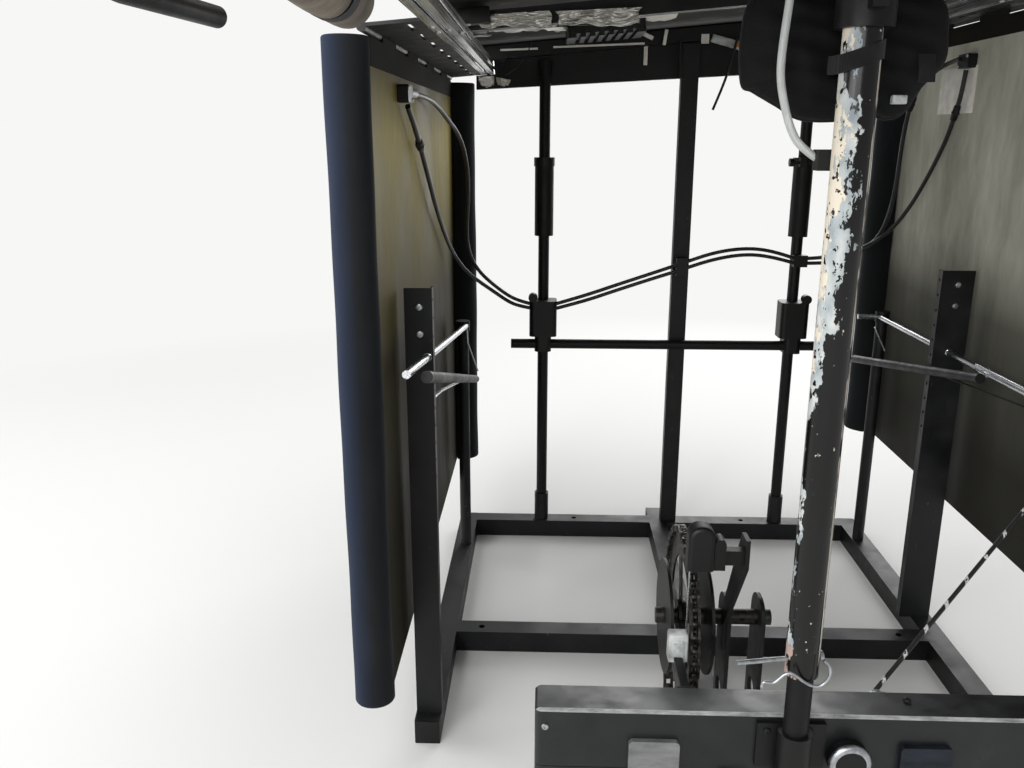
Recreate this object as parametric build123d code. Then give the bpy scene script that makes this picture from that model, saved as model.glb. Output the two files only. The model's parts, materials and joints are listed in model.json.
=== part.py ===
from build123d import *
import math
import os

# Solar canopy cabin of a home-built velomobile. Millimetres. +Z up, +Y to the rear, +X to the right
# when looking rearwards. The origin is under the mast's axis, at the underside of the base frame.
# Sides are written as s = -1 for the left and s = 1 for the right.
SIDES = (("left", -1), ("right", 1))

# Base frame of square tube
BEAM, BEAM_WALL = 30.0, 2.0
SPINE_FRONT, SPINE_REAR = -60.0, 930.0
MID_Y, REAR_Y = 500.0, 880.0  # axes of the two cross members
SIDE_BEAM_X = 340.0  # axis of the side beams
SIDE_BEAM_FRONT, SIDE_BEAM_REAR = 285.0, 895.0
BOLT_R = 4.25
MID_BOLT_X, REAR_BOLT_X = 290.0, 150.0

# Mast: an inner tube standing in a socket, and an outer tube that slides on it and is pinned
INNER_R, INNER_WALL, INNER_TOP = 10.0, 2.0, 470.0
SLIDE_GAP = 0.25  # radial clearance between telescoping tubes
OUTER_R, OUTER_LOW = 13.0, 291.0
SOCKET_H, SOCKET_WALL, SOCKET_FLOOR = 70.0, 4.0, 4.0
PIN_Z, PIN_R, PIN_TAIL, PIN_TURN = 304.5, 2.0, 41.0, 11.0  # turned about the mast, in degrees
HEAD_H, HEAD_WALL, HEAD_SEAT = 52.0, 6.0, 8.0

# Roof: a flat frame that stands tilted sideways about the mast head. Its own coordinates are
# u to the right, y to the rear and w up from the hinge plane.
ROOF_Z = 818.0  # height of the hinge plane over the mast
HINGE_U, HINGE_RISE = 364.0, 30.3  # hinge axes from the middle, and how much higher the right one is
TILT = math.degrees(math.asin(HINGE_RISE / HINGE_U))
RAIL_U, RAIL, RAIL_SLOT, RAIL_SLOT_IN, RAIL_LIP = 302.0, 20.0, 6.0, 11.0, 1.8
ROOF_FRONT, ROOF_REAR = -260.0, 950.0
CAP_T = 5.0
BAR, BAR_WALL = 20.0, 1.5
BAR_ROWS = (("front", 0.0), ("mid", 470.0), ("rear", 880.0))
SOLAR_HALF, SOLAR_FRAME_H, SOLAR_FRAME_WALL, SOLAR_FLANGE, LAMINATE_T = 352.0, 14.0, 2.0, 10.0, 5.0
VALANCE_Y, VALANCE_T, VALANCE_LIP, VALANCE_X = 891.0, 2.5, 12.0, 320.0
VALANCE_BELOW = (48.3, 16.2)  # lower edge below the hinge plane over the mast, at the left and right end
CONTROLLER = (-122.0, 745.0, 110.0, 90.0, 24.0)  # u and y of its middle, then its width, depth and height
ROLL_U, ROLL_W, ROLL_R, ROLL_REAR = 345.0, 0.0, 18.5, 52.0
STAY_R = 6.0

# Side walls and their hinges
WALL_Y0, WALL_Y1 = 170.0, 895.0
WALL_H, WALL_T, WALL_CORNER = 638.0, 6.0, 18.0
WALL_DROP = 6.0  # from the hinge axis down to the sheet's top edge
PIN_HINGE_R, KNUCKLE_R, KNUCKLES, KNUCKLE_GAP = 2.0, 4.0, 9, 1.5
RUNNING = 0.08  # radial clearance on hinge pins and shafts
STRIP_T, LEAF_T, LEAF_H = 3.0, 1.5, 24.0
STILE_R = 8.0
FRONT_FOAM_OUT, FRONT_FOAM_R = 12.0, 20.0  # how far outboard of the sheet's middle its tube is
REAR_FOAM_IN, REAR_FOAM_R = 11.0, 28.0
BOX_T, BOX_L, BOX_H = 12.0, 32.0, 18.0  # junction box on each wall
# y of its middle on each side, and how far that is below the hinge plane over the mast
BOX_PLACE = {-1: (350.0, 77.0), 1: (661.0, 24.0)}

# Rear posts
POST_X, POST_R, POST_WALL, POST_SPLIT = 209.0, 9.0, 1.5, 600.0
SLEEVE_R, SLEEVE_LOW, SLEEVE_TOP = 15.5, 538.0, 650.0
COLLAR_R, COLLAR_H = 17.0, 14.0
POST_SOCKET_H, POST_SOCKET_WALL = 50.0, 3.0
CENTRE_X, CENTRE_W, CENTRE_D, CENTRE_Y = 18.7, 27.0, 18.0, REAR_Y + 0.8
TIE_OUT, SADDLE_OUT = 17.3, 13.0  # how far the lead ties stand forward of the flat post and the tube

# Uprights of perforated angle, the bent rods and braces along the walls, and the tube across
UPRIGHT_D, UPRIGHT_T = 13.0, 2.0
# Inner face, width, y and top of the upright on each side
UPRIGHT_PLACE = {-1: (324.0, 30.0, 300.0, 544.5), 1: (309.0, 42.0, 550.0, 530.0)}
HOLE_PITCH, HOLE_R, HOLE_COUNT = 20.0, 2.1, 11
ROD_R, ROD_X = 4.0, 330.5
ROD_ENDS = {-1: (156.0, 489.0, 407.0), 1: (235.0, 424.0, 418.5)}  # y and z in front, then z at the strut
STRUT_X, STRUT_R, STRUT_HEAD = 336.0, 9.0, 16.0
STRUT_Y = {-1: 768.0, 1: 812.0}
BRACE_R, BRACE_BOLT_R = 6.0, 3.5
# x, then y and z of the front end, and the slope down to the rear
BRACE_ENDS = {-1: (317.4, 196.0, 476.3, -0.2743), 1: (302.4, 400.0, 425.8, -0.1907)}
CROSS_HALF, CROSS_R, CROSS_Z = 263.0, 8.0, 357.0
CLAMP_W, CLAMP_D, CLAMP_LOW, CLAMP_TOP = 46.0, 40.0, 371.0, 431.0
CLAMP_NECK_W, CLAMP_FOOT = 28.0, 345.0  # the narrower part below, round the tube across

# Case clamped to the mast, with a drop-down tray
CASE_X0, CASE_X1, CASE_Y0, CASE_Y1 = -210.0, 224.0, 13.0, 60.0
CASE_TOP, CASE_TOP_REAR, CASE_SPLIT, CASE_LOW = 243.0, 235.0, 188.0, 145.0
CASE_WALL, CASE_BEVEL, CASE_CORNER = 3.0, 2.0, 6.0
SPLIT_GAP = 0.6
LATCH_X, LATCH_W, LATCH_LOW, LATCH_H, LATCH_T = 111.0, 42.0, 176.0, 41.0, 5.0
KNOB_X, KNOB_Z, KNOB_R = 47.0, 206.0, 17.0
TRAY_PIN_R, TRAY_KNUCKLE_R = 1.5, 3.5

# Relay shaft: a chainring and a small sprocket on two tower plates, with their chain
LINK, RING_TEETH, SPROCKET_TEETH, CHAIN_LINKS = 12.7, 44, 20, 60
RELAY_Y, RING_Z, RING_X = 205.0, 222.0, -62.0
TOWER_T, TOWER_HALF = 4.0, 24.0
SHAFT_R = 8.0
ROLLER_R, ROLLER_HALF, PLATE_OUT, TOOTH_TIP = 3.9, 2.4, 4.4, 3.2
GUARD_X = (-80.0, -40.0)
GUARD_T, GUARD_R = 3.0, 58.0
GUIDE_R, LOBE_R = 12.0, 5.0

# Soft pieces and leads
POUCH = (0.0, 41.0, ROOF_Z - 64.0, 136.0, 44.0, 92.0)  # middle, then width, depth and height
CABLE_R, HOSE_R = 3.0, 2.75


def block(x0, x1, y0, y1, z0, z1):
    """A box between two corners, given in any order."""
    middle = Pos((x0 + x1) / 2, (y0 + y1) / 2, (z0 + z1) / 2)
    return middle * Box(abs(x1 - x0), abs(y1 - y0), abs(z1 - z0))


def rod_z(radius, z0, z1, x=0.0, y=0.0):
    return Pos(x, y, (z0 + z1) / 2) * Cylinder(radius, abs(z1 - z0))


def rod_x(radius, x0, x1, y=0.0, z=0.0):
    return Pos((x0 + x1) / 2, y, z) * Rot(0, 90, 0) * Cylinder(radius, abs(x1 - x0))


def rod_y(radius, y0, y1, x=0.0, z=0.0):
    return Pos(x, (y0 + y1) / 2, z) * Rot(90, 0, 0) * Cylinder(radius, abs(y1 - y0))


def tube_z(radius, wall, z0, z1, x=0.0, y=0.0):
    return rod_z(radius, z0, z1, x, y) - rod_z(radius - wall, z0 - 1, z1 + 1, x, y)


def square_tube(axis, x0, x1, y0, y1, z0, z1, wall):
    """A box whose bore runs along the named axis, with walls of one thickness on the other sides."""
    cut = {name: (-1.0 if name == axis else wall) for name in "xyz"}
    low = (min(x0, x1) + cut["x"], min(y0, y1) + cut["y"], min(z0, z1) + cut["z"])
    high = (max(x0, x1) - cut["x"], max(y0, y1) - cut["y"], max(z0, z1) - cut["z"])
    return block(x0, x1, y0, y1, z0, z1) - block(low[0], high[0], low[1], high[1], low[2], high[2])


def bent_rod(radius, points, radii):
    """A round bar along straight runs joined by tangent arcs."""
    path = FilletPolyline(*points, radius=radii)
    return sweep(Plane(origin=path @ 0, z_dir=path % 0) * Circle(radius), path=path)


def straight_rod(radius, start, end):
    run = Vector(*end) - Vector(*start)
    return extrude(Plane(origin=start, z_dir=run) * Circle(radius), run.length)


def on_roof(shape):
    """Takes a piece from the level roof's own coordinates to the roof as it stands."""
    return Pos(0, 0, ROOF_Z) * Rot(0, -TILT, 0) * shape


def roof_height(x, w=0.0):
    """Height over the base of the point w above the hinge plane, at this x."""
    angle = math.radians(TILT)
    return ROOF_Z + w / math.cos(angle) + x * math.tan(angle)


def hinge_axis(s):
    """x and z of a wall's hinge axis."""
    angle = math.radians(TILT)
    return s * HINGE_U * math.cos(angle), ROOF_Z + s * HINGE_U * math.sin(angle)


pieces = {}


def base_frame():
    """A spine with two cross members butted against it, and a beam along each side."""
    pieces["base_spine"] = square_tube(
        "y", -BEAM / 2, BEAM / 2, SPINE_FRONT, SPINE_REAR, 0, BEAM, BEAM_WALL
    )
    inner = SIDE_BEAM_X - BEAM / 2
    halves = []
    for y, bolt_x in ((MID_Y, MID_BOLT_X), (REAR_Y, REAR_BOLT_X)):
        for _, s in SIDES:
            half = square_tube("x", s * BEAM / 2, s * inner, y - BEAM / 2, y + BEAM / 2, 0, BEAM, BEAM_WALL)
            halves.append(half - rod_z(BOLT_R, -1, BEAM + 1, s * bolt_x, y))
    pieces["base_crosses"] = Compound(halves)
    pieces["base_sides"] = Compound(
        [
            square_tube(
                "y", s * inner, s * (inner + BEAM), SIDE_BEAM_FRONT, SIDE_BEAM_REAR, 0, BEAM, BEAM_WALL
            )
            for _, s in SIDES
        ]
    )


def mast():
    bore = INNER_R + SLIDE_GAP
    socket = rod_z(bore + SOCKET_WALL, BEAM, BEAM + SOCKET_H)
    socket += block(-5, 5, -bore - SOCKET_WALL - 12, -bore, BEAM + SOCKET_H - 30, BEAM + SOCKET_H)
    socket -= rod_z(bore, BEAM + SOCKET_FLOOR, BEAM + SOCKET_H + 1)
    socket -= block(-1, 1, -bore - SOCKET_WALL - 13, 0, BEAM + SOCKET_H - 40, BEAM + SOCKET_H + 1)
    socket -= rod_x(2.6, -6, 6, -bore - SOCKET_WALL - 6, BEAM + SOCKET_H - 15)
    pieces["tube_sockets"] = socket
    turn = Rot(0, 0, PIN_TURN)
    cross_bore = turn * rod_x(PIN_R + RUNNING, -40, 40, 0, PIN_Z)
    inner = tube_z(INNER_R, INNER_WALL, BEAM + SOCKET_FLOOR, INNER_TOP) - cross_bore
    for step in range(1, 4):
        inner -= turn * rod_x(PIN_R + RUNNING, -40, 40, 0, PIN_Z + step * 40)
    pieces["mast_inner"] = inner
    top = roof_height(0, 0) - HEAD_SEAT
    pieces["mast_outer"] = tube_z(OUTER_R, OUTER_R - bore, OUTER_LOW, top) - cross_bore
    pin = rod_x(PIN_R, -OUTER_R - PIN_TAIL, OUTER_R + 2, 0, PIN_Z)
    pieces["clevis_pin"] = turn * (pin + rod_x(2 * PIN_R, OUTER_R + 0.4, OUTER_R + 3.4, 0, PIN_Z))
    head = rod_z(OUTER_R + HEAD_WALL, top - HEAD_H + HEAD_SEAT, top + 3)
    head -= rod_z(OUTER_R, top - HEAD_H, top)
    ear = block(-5, 5, -OUTER_R - HEAD_WALL - 9, -OUTER_R, top - 34, top - 12)
    head += ear
    head -= rod_x(2.6, -6, 6, -OUTER_R - HEAD_WALL - 3, top - 23)
    pieces["tube_heads"] = head
    pivot = block(-17, 17, -15, 15, top + 3, top + 9)
    pivot += block(-17, -12, -15, 15, top + 3, roof_height(-17, RAIL))
    pivot += block(12, 17, -15, 15, top + 3, roof_height(12, RAIL))
    pieces["roof_pivot"] = pivot


def rail_profile():
    """The slotted rail's section: a square with one T-slot in each side."""
    section = Rectangle(RAIL, RAIL)
    for turn in range(4):
        mouth = Pos(0, RAIL / 2 - 2.5) * Rectangle(RAIL_SLOT, 5.01)
        pocket = Pos(0, RAIL / 2 - RAIL_LIP - 1.75) * Rectangle(RAIL_SLOT_IN, 3.5)
        section -= Rot(0, 0, 90 * turn) * (mouth + pocket)
    return section


def roof():
    length = ROOF_REAR - ROOF_FRONT
    rails, caps, strips = [], [], []
    for _, s in SIDES:
        place = Pos(s * RAIL_U, ROOF_FRONT, RAIL / 2) * Rot(-90, 0, 0)
        rails.append(on_roof(place * extrude(rail_profile(), length)))
        half = RAIL / 2
        for y0, y1 in ((ROOF_FRONT - CAP_T, ROOF_FRONT), (ROOF_REAR, ROOF_REAR + CAP_T)):
            cap = block(s * RAIL_U - half, s * RAIL_U + half, y0, y1, 0, RAIL)
            caps.append(on_roof(fillet(cap.edges().filter_by(Axis.Y), 2)))
        strips.append(on_roof(hinge_strip(s)))
    pieces["roof_rails"] = Compound(rails)
    pieces["rail_caps"] = Compound(caps)
    pieces["hinge_strips"] = Compound(strips)
    half = SOLAR_HALF - 4
    pieces["roof_bars"] = Compound(
        [
            on_roof(square_tube("x", -half, half, y - BAR / 2, y + BAR / 2, RAIL, RAIL + BAR, BAR_WALL))
            for _, y in BAR_ROWS
        ]
    )
    low, high = RAIL + BAR, RAIL + BAR + SOLAR_FRAME_H
    wall, flange = SOLAR_FRAME_WALL, SOLAR_FLANGE
    frame = block(-SOLAR_HALF, SOLAR_HALF, ROOF_FRONT, ROOF_REAR, low, high)
    frame -= block(
        -SOLAR_HALF + flange, SOLAR_HALF - flange, ROOF_FRONT + flange, ROOF_REAR - flange, low - 1, high + 1
    )
    frame -= block(
        -SOLAR_HALF + wall, SOLAR_HALF - wall, ROOF_FRONT + wall, ROOF_REAR - wall, low + wall, high + 1
    )
    pieces["solar_frame"] = on_roof(frame)
    pieces["solar_panel"] = on_roof(
        block(
            -SOLAR_HALF + wall, SOLAR_HALF - wall, ROOF_FRONT + wall, ROOF_REAR - wall, high - LAMINATE_T, high
        )
    )
    y1 = VALANCE_Y + VALANCE_T
    low_left, low_right = (ROOF_Z - below for below in VALANCE_BELOW)
    outline = [(-VALANCE_X, low_left), (VALANCE_X, low_right)]
    fold = outline + [(VALANCE_X, low_right + VALANCE_T), (-VALANCE_X, low_left + VALANCE_T)]
    outline += [(x, roof_height(x, -0.5)) for x in (VALANCE_X, -VALANCE_X)]
    valance = extrude(Plane.XZ.offset(-y1) * Polygon(*outline, align=None), VALANCE_T)
    valance += extrude(Plane.XZ.offset(-y1 - VALANCE_LIP) * Polygon(*fold, align=None), VALANCE_LIP)
    inside = RAIL_U - RAIL / 2 - 1
    valance += on_roof(block(-inside, inside, VALANCE_Y, y1, -2, RAIL + BAR))
    pieces["rear_valance"] = valance
    u, y, width, depth, height = CONTROLLER
    top = high - LAMINATE_T
    shell = block(u - width / 2, u + width / 2, y - depth / 2, y + depth / 2, top - height, top)
    shell = fillet(shell.edges().filter_by(Axis.Z), 6)
    for step in range(-3, 4):
        x = u + step * 13.0
        shell -= block(x - 3, x + 3, y - depth / 2 - 1, y + depth / 2 + 1, top - height - 1, top - height + 5)
    pieces["controller_box"] = on_roof(shell)


def hinge_strip(s):
    """The slotted strip beside a rail, with the fixed knuckles and the pin of the wall's hinge."""
    u0, u1 = RAIL_U + RAIL / 2, HINGE_U - KNUCKLE_R - 1.5
    strip = block(s * u0, s * u1, WALL_Y0 + 5, WALL_Y1 - 5, 0, STRIP_T)
    pitch = (WALL_Y1 - WALL_Y0 - 10) / KNUCKLES
    for index in range(KNUCKLES):
        y = WALL_Y0 + 5 + pitch * (index + 0.5)
        slot = block(s * (u0 + 12), s * (u0 + 18), y - pitch * 0.3, y + pitch * 0.3, -1, STRIP_T + 1)
        strip -= slot
        if index % 2 == 0:
            y0, y1 = y - pitch / 2, y + pitch / 2
            strip += rod_y(KNUCKLE_R, y0, y1, s * HINGE_U, 0)
            strip += block(s * (u1 - 1), s * HINGE_U, y0, y1, 0, STRIP_T)
    strip += rod_y(PIN_HINGE_R, WALL_Y0 + 5, WALL_Y1 - 5, s * HINGE_U, 0)
    strip += block(s * u0, s * (ROLL_U - ROLL_R + 6), ROOF_FRONT, ROLL_REAR - 20, 0, STRIP_T)
    return strip


def roof_rolls():
    """Foam rolls under the roof's edges ahead of the walls, and the bent stays beside them."""
    rolls, stays = [], []
    for _, s in SIDES:
        roll = Pos(s * ROLL_U, (ROOF_FRONT + ROLL_REAR) / 2, ROLL_W) * Rot(90, 0, 0) * Cylinder(
            ROLL_R, ROLL_REAR - ROOF_FRONT
        )
        roll = fillet(roll.edges().sort_by(Axis.Y)[-1], ROLL_R * 0.95)
        u0, u1 = RAIL_U + RAIL / 2, ROLL_U - ROLL_R + 6
        roll -= block(s * u0, s * u1, ROOF_FRONT - 1, ROLL_REAR - 20, 0, STRIP_T)
        rolls.append(on_roof(roll))
        stay = bent_rod(
            STAY_R,
            [
                (s * (SOLAR_HALF + 0.5), ROOF_FRONT + 24, 47),
                (s * (SOLAR_HALF + 52), ROOF_FRONT + 24, 47),
                (s * (SOLAR_HALF + 54), ROOF_FRONT + 55, -20),
                (s * (SOLAR_HALF + 41), ROOF_FRONT + 162, -22),
            ],
            [14, 22],
        )
        stays.append(on_roof(stay))
    pieces["roof_rolls"] = Compound(rolls)
    pieces["front_stays"] = Compound(stays)


def side_wall(name, s):
    """A sheet hung on its hinge leaf, with a foamed tube up each end and a junction box inside."""
    x, z = hinge_axis(s)
    top = z - WALL_DROP
    x_in, x_out = x - s * WALL_T / 2, x + s * WALL_T / 2
    sheet = block(x_in, x_out, WALL_Y0, WALL_Y1, top - WALL_H, top)
    pieces["wall_panel_" + name] = fillet(sheet.edges().filter_by(Axis.X), WALL_CORNER)
    pitch = (WALL_Y1 - WALL_Y0 - 10) / KNUCKLES
    leaf_x = x_in - s * LEAF_T
    leaf = block(leaf_x, x_in, WALL_Y0 + 20, WALL_Y1 - 32, top - LEAF_H, top)
    for index in range(1, KNUCKLES, 2):
        middle = WALL_Y0 + 5 + pitch * (index + 0.5)
        y0, y1 = middle - pitch / 2 + KNUCKLE_GAP, middle + pitch / 2 - KNUCKLE_GAP
        leaf += block(leaf_x, x_in, y0, y1, top - 1, z)
        leaf += rod_y(KNUCKLE_R, y0, y1, x, z)
        leaf -= rod_y(PIN_HINGE_R + RUNNING, y0 - 1, y1 + 1, x, z)
    pieces["wall_leaf_" + name] = leaf
    foams, stiles = [], []
    for y, shift, radius in (
        (WALL_Y0 - 5, FRONT_FOAM_OUT, FRONT_FOAM_R),
        (WALL_Y1, -REAR_FOAM_IN, REAR_FOAM_R),
    ):
        cx = x + s * shift
        foam = rod_z(radius, top - WALL_H, top - 2, cx, y) - rod_z(STILE_R, top - WALL_H - 1, top, cx, y)
        foam -= block(x_in - s * 0.02, x_out + s * 0.02, WALL_Y0, WALL_Y1, top - WALL_H - 1, top)
        foams.append(foam)
        stiles.append(rod_z(STILE_R, top - WALL_H - 6, top - 3, cx, y))
    pieces["wall_foams_" + name] = Compound(foams)
    pieces["wall_stiles_" + name] = Compound(stiles)
    y, below = BOX_PLACE[s]
    z_box = ROOF_Z - below
    box = block(x_in, x_in - s * BOX_T, y - BOX_L / 2, y + BOX_L / 2, z_box - BOX_H / 2, z_box + BOX_H / 2)
    pieces["junction_box_" + name] = fillet(box.edges().filter_by(Axis.X), 3)


def collar_lever(x):
    """The clamping lug, its screw with a knob, and the lever of the collar at this x."""
    middle, front = SLEEVE_TOP + COLLAR_H / 2, REAR_Y - COLLAR_R
    lever = block(x - 12, x - 2, front - 8, REAR_Y - POST_R - 2, SLEEVE_TOP, SLEEVE_TOP + COLLAR_H)
    lever += rod_x(2.5, x - 22, x + 6, front - 3, middle)
    lever += rod_x(6.5, x - 28, x - 20, front - 3, middle)
    return lever + block(x + 2, x + 6, front - 7, REAR_Y + 12, middle - 4, middle + 4)


def rear_posts():
    sockets, tubes, sleeves, collars, heads = [], [], [], [], []
    for _, s in SIDES:
        x = s * POST_X
        outer = POST_R + 0.2 + POST_SOCKET_WALL
        sockets.append(tube_z(outer, POST_SOCKET_WALL, BEAM, BEAM + POST_SOCKET_H, x, REAR_Y))
        tubes.append(tube_z(POST_R, POST_WALL, BEAM, POST_SPLIT - 3, x, REAR_Y))
        top = roof_height(x - POST_R, RAIL) - 10
        tubes.append(tube_z(POST_R, POST_WALL, POST_SPLIT + 3, top, x, REAR_Y))
        sleeves.append(tube_z(SLEEVE_R, SLEEVE_R - POST_R - 0.2, SLEEVE_LOW, SLEEVE_TOP, x, REAR_Y))
        collar = tube_z(COLLAR_R, COLLAR_R - POST_R - 0.2, SLEEVE_TOP, SLEEVE_TOP + COLLAR_H, x, REAR_Y)
        if s > 0:
            collar += collar_lever(x)
        collar -= rod_z(POST_R + 0.2, SLEEVE_TOP - 1, SLEEVE_TOP + COLLAR_H + 1, x, REAR_Y)
        collars.append(collar)
        head = rod_z(POST_R + 1.8, top - 22, top + 3, x, REAR_Y)
        head -= rod_z(POST_R + 0.2, top - 23, top, x, REAR_Y)
        head += block(x - 8, x + 8, REAR_Y - 3, REAR_Y + 3, top + 2, roof_height(x - 8, RAIL) - 0.4)
        heads.append(head)
    pieces["tube_sockets"] = Compound([pieces["tube_sockets"]] + sockets)
    pieces["post_tubes"] = Compound(tubes)
    pieces["post_sleeves"] = Compound(sleeves)
    pieces["post_clamps"] = Compound(collars)
    pieces["tube_heads"] = Compound([pieces["tube_heads"]] + heads)
    y0, y1 = CENTRE_Y - CENTRE_D / 2, CENTRE_Y + CENTRE_D / 2
    x0, x1 = CENTRE_X - CENTRE_W / 2, CENTRE_X + CENTRE_W / 2
    top = roof_height(x0, RAIL) - 2
    pieces["centre_post"] = square_tube("z", x0, x1, y0, y1, BEAM, top, 2.0)


def uprights_and_rods():
    uprights, rods, struts, braces = [], [], [], []
    for _, s in SIDES:
        inner, width, y, top = UPRIGHT_PLACE[s]
        angle = block(s * inner, s * (inner + width), y, y + UPRIGHT_T, BEAM, top)
        angle += block(s * inner, s * (inner + UPRIGHT_T), y, y + UPRIGHT_D, BEAM, top)
        for index in range(HOLE_COUNT):
            z = top - 13 - index * HOLE_PITCH
            angle -= rod_x(HOLE_R, s * (inner - 1), s * (inner + UPRIGHT_T + 1), y + UPRIGHT_D / 2, z)
        y_front, z_front, z_rear = ROD_ENDS[s]
        slope = (z_rear - z_front) / (STRUT_Y[s] - y_front)
        z_at = z_front + slope * (y - y_front)
        angle -= rod_y(ROD_R + 1.2, y - 1, y + UPRIGHT_T + 1, s * ROD_X, z_at)
        uprights.append(angle)
        rear = (s * ROD_X, STRUT_Y[s] - 2, z_rear - 2 * slope)
        rod = straight_rod(ROD_R, (s * ROD_X, y_front, z_front), rear)
        rods.append(rod)
        strut_top = z_rear + STRUT_HEAD / 2
        strut = tube_z(STRUT_R, 1.5, BEAM, strut_top - STRUT_HEAD, s * STRUT_X, STRUT_Y[s])
        strut += rod_z(STRUT_R + 2, strut_top - STRUT_HEAD, strut_top, s * STRUT_X, STRUT_Y[s]) - rod
        struts.append(strut)
        x, y0, z0, slope = BRACE_ENDS[s]
        y1 = STRUT_Y[s] + 10
        brace = straight_rod(BRACE_R, (s * x, y0, z0), (s * x, y1, z0 + slope * (y1 - y0)))
        bolt_z = z0 + slope * (STRUT_Y[s] - y0)
        brace += rod_x(BRACE_BOLT_R, s * x, s * (STRUT_X - STRUT_R + 1), STRUT_Y[s], bolt_z)
        bolt_y = y + UPRIGHT_D / 2
        brace += rod_x(BRACE_BOLT_R, s * x, s * inner, bolt_y, z0 + slope * (bolt_y - y0))
        braces.append(brace - strut)
    pieces["uprights"] = Compound(uprights)
    pieces["side_rods"] = Compound(rods)
    pieces["corner_struts"] = Compound(struts)
    pieces["wall_braces"] = Compound(braces)
    y = REAR_Y - POST_R - CROSS_R
    pieces["cross_tube"] = rod_x(CROSS_R, -CROSS_HALF, CROSS_HALF, y, CROSS_Z) - rod_x(
        CROSS_R - 1.5, -CROSS_HALF - 1, CROSS_HALF + 1, y, CROSS_Z
    )
    clamps = []
    front, back = REAR_Y - 28, REAR_Y - 28 + CLAMP_D
    for _, s in SIDES:
        x = s * POST_X
        clamp = block(x - CLAMP_W / 2, x + CLAMP_W / 2, front, back, CLAMP_LOW, CLAMP_TOP)
        clamp = fillet(clamp.edges().filter_by(Axis.Z), 8)
        neck = block(x - CLAMP_NECK_W / 2, x + CLAMP_NECK_W / 2, front, back, CLAMP_FOOT, CLAMP_LOW)
        clamp += fillet(neck.edges().filter_by(Axis.Z), 8)
        clamp += rod_y(7.5, front - 1, front + 12, x + s * 17, CLAMP_TOP + 6)
        clamp -= rod_z(POST_R + 0.1, CLAMP_FOOT - 1, CLAMP_TOP + 20, x, REAR_Y)
        clamp -= rod_x(CROSS_R + 0.1, x - CLAMP_W, x + CLAMP_W, y, CROSS_Z)
        clamps.append(clamp)
    pieces["post_clamps"] = Compound([pieces["post_clamps"]] + clamps)


def across_case(points, inset):
    """A prism of the case's width, less an inset at both ends, from its outline in y and z."""
    width = CASE_X1 - CASE_X0 - 2 * inset
    return extrude(Plane.YZ.offset(CASE_X0 + inset) * Polygon(*points, align=None), width)


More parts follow.
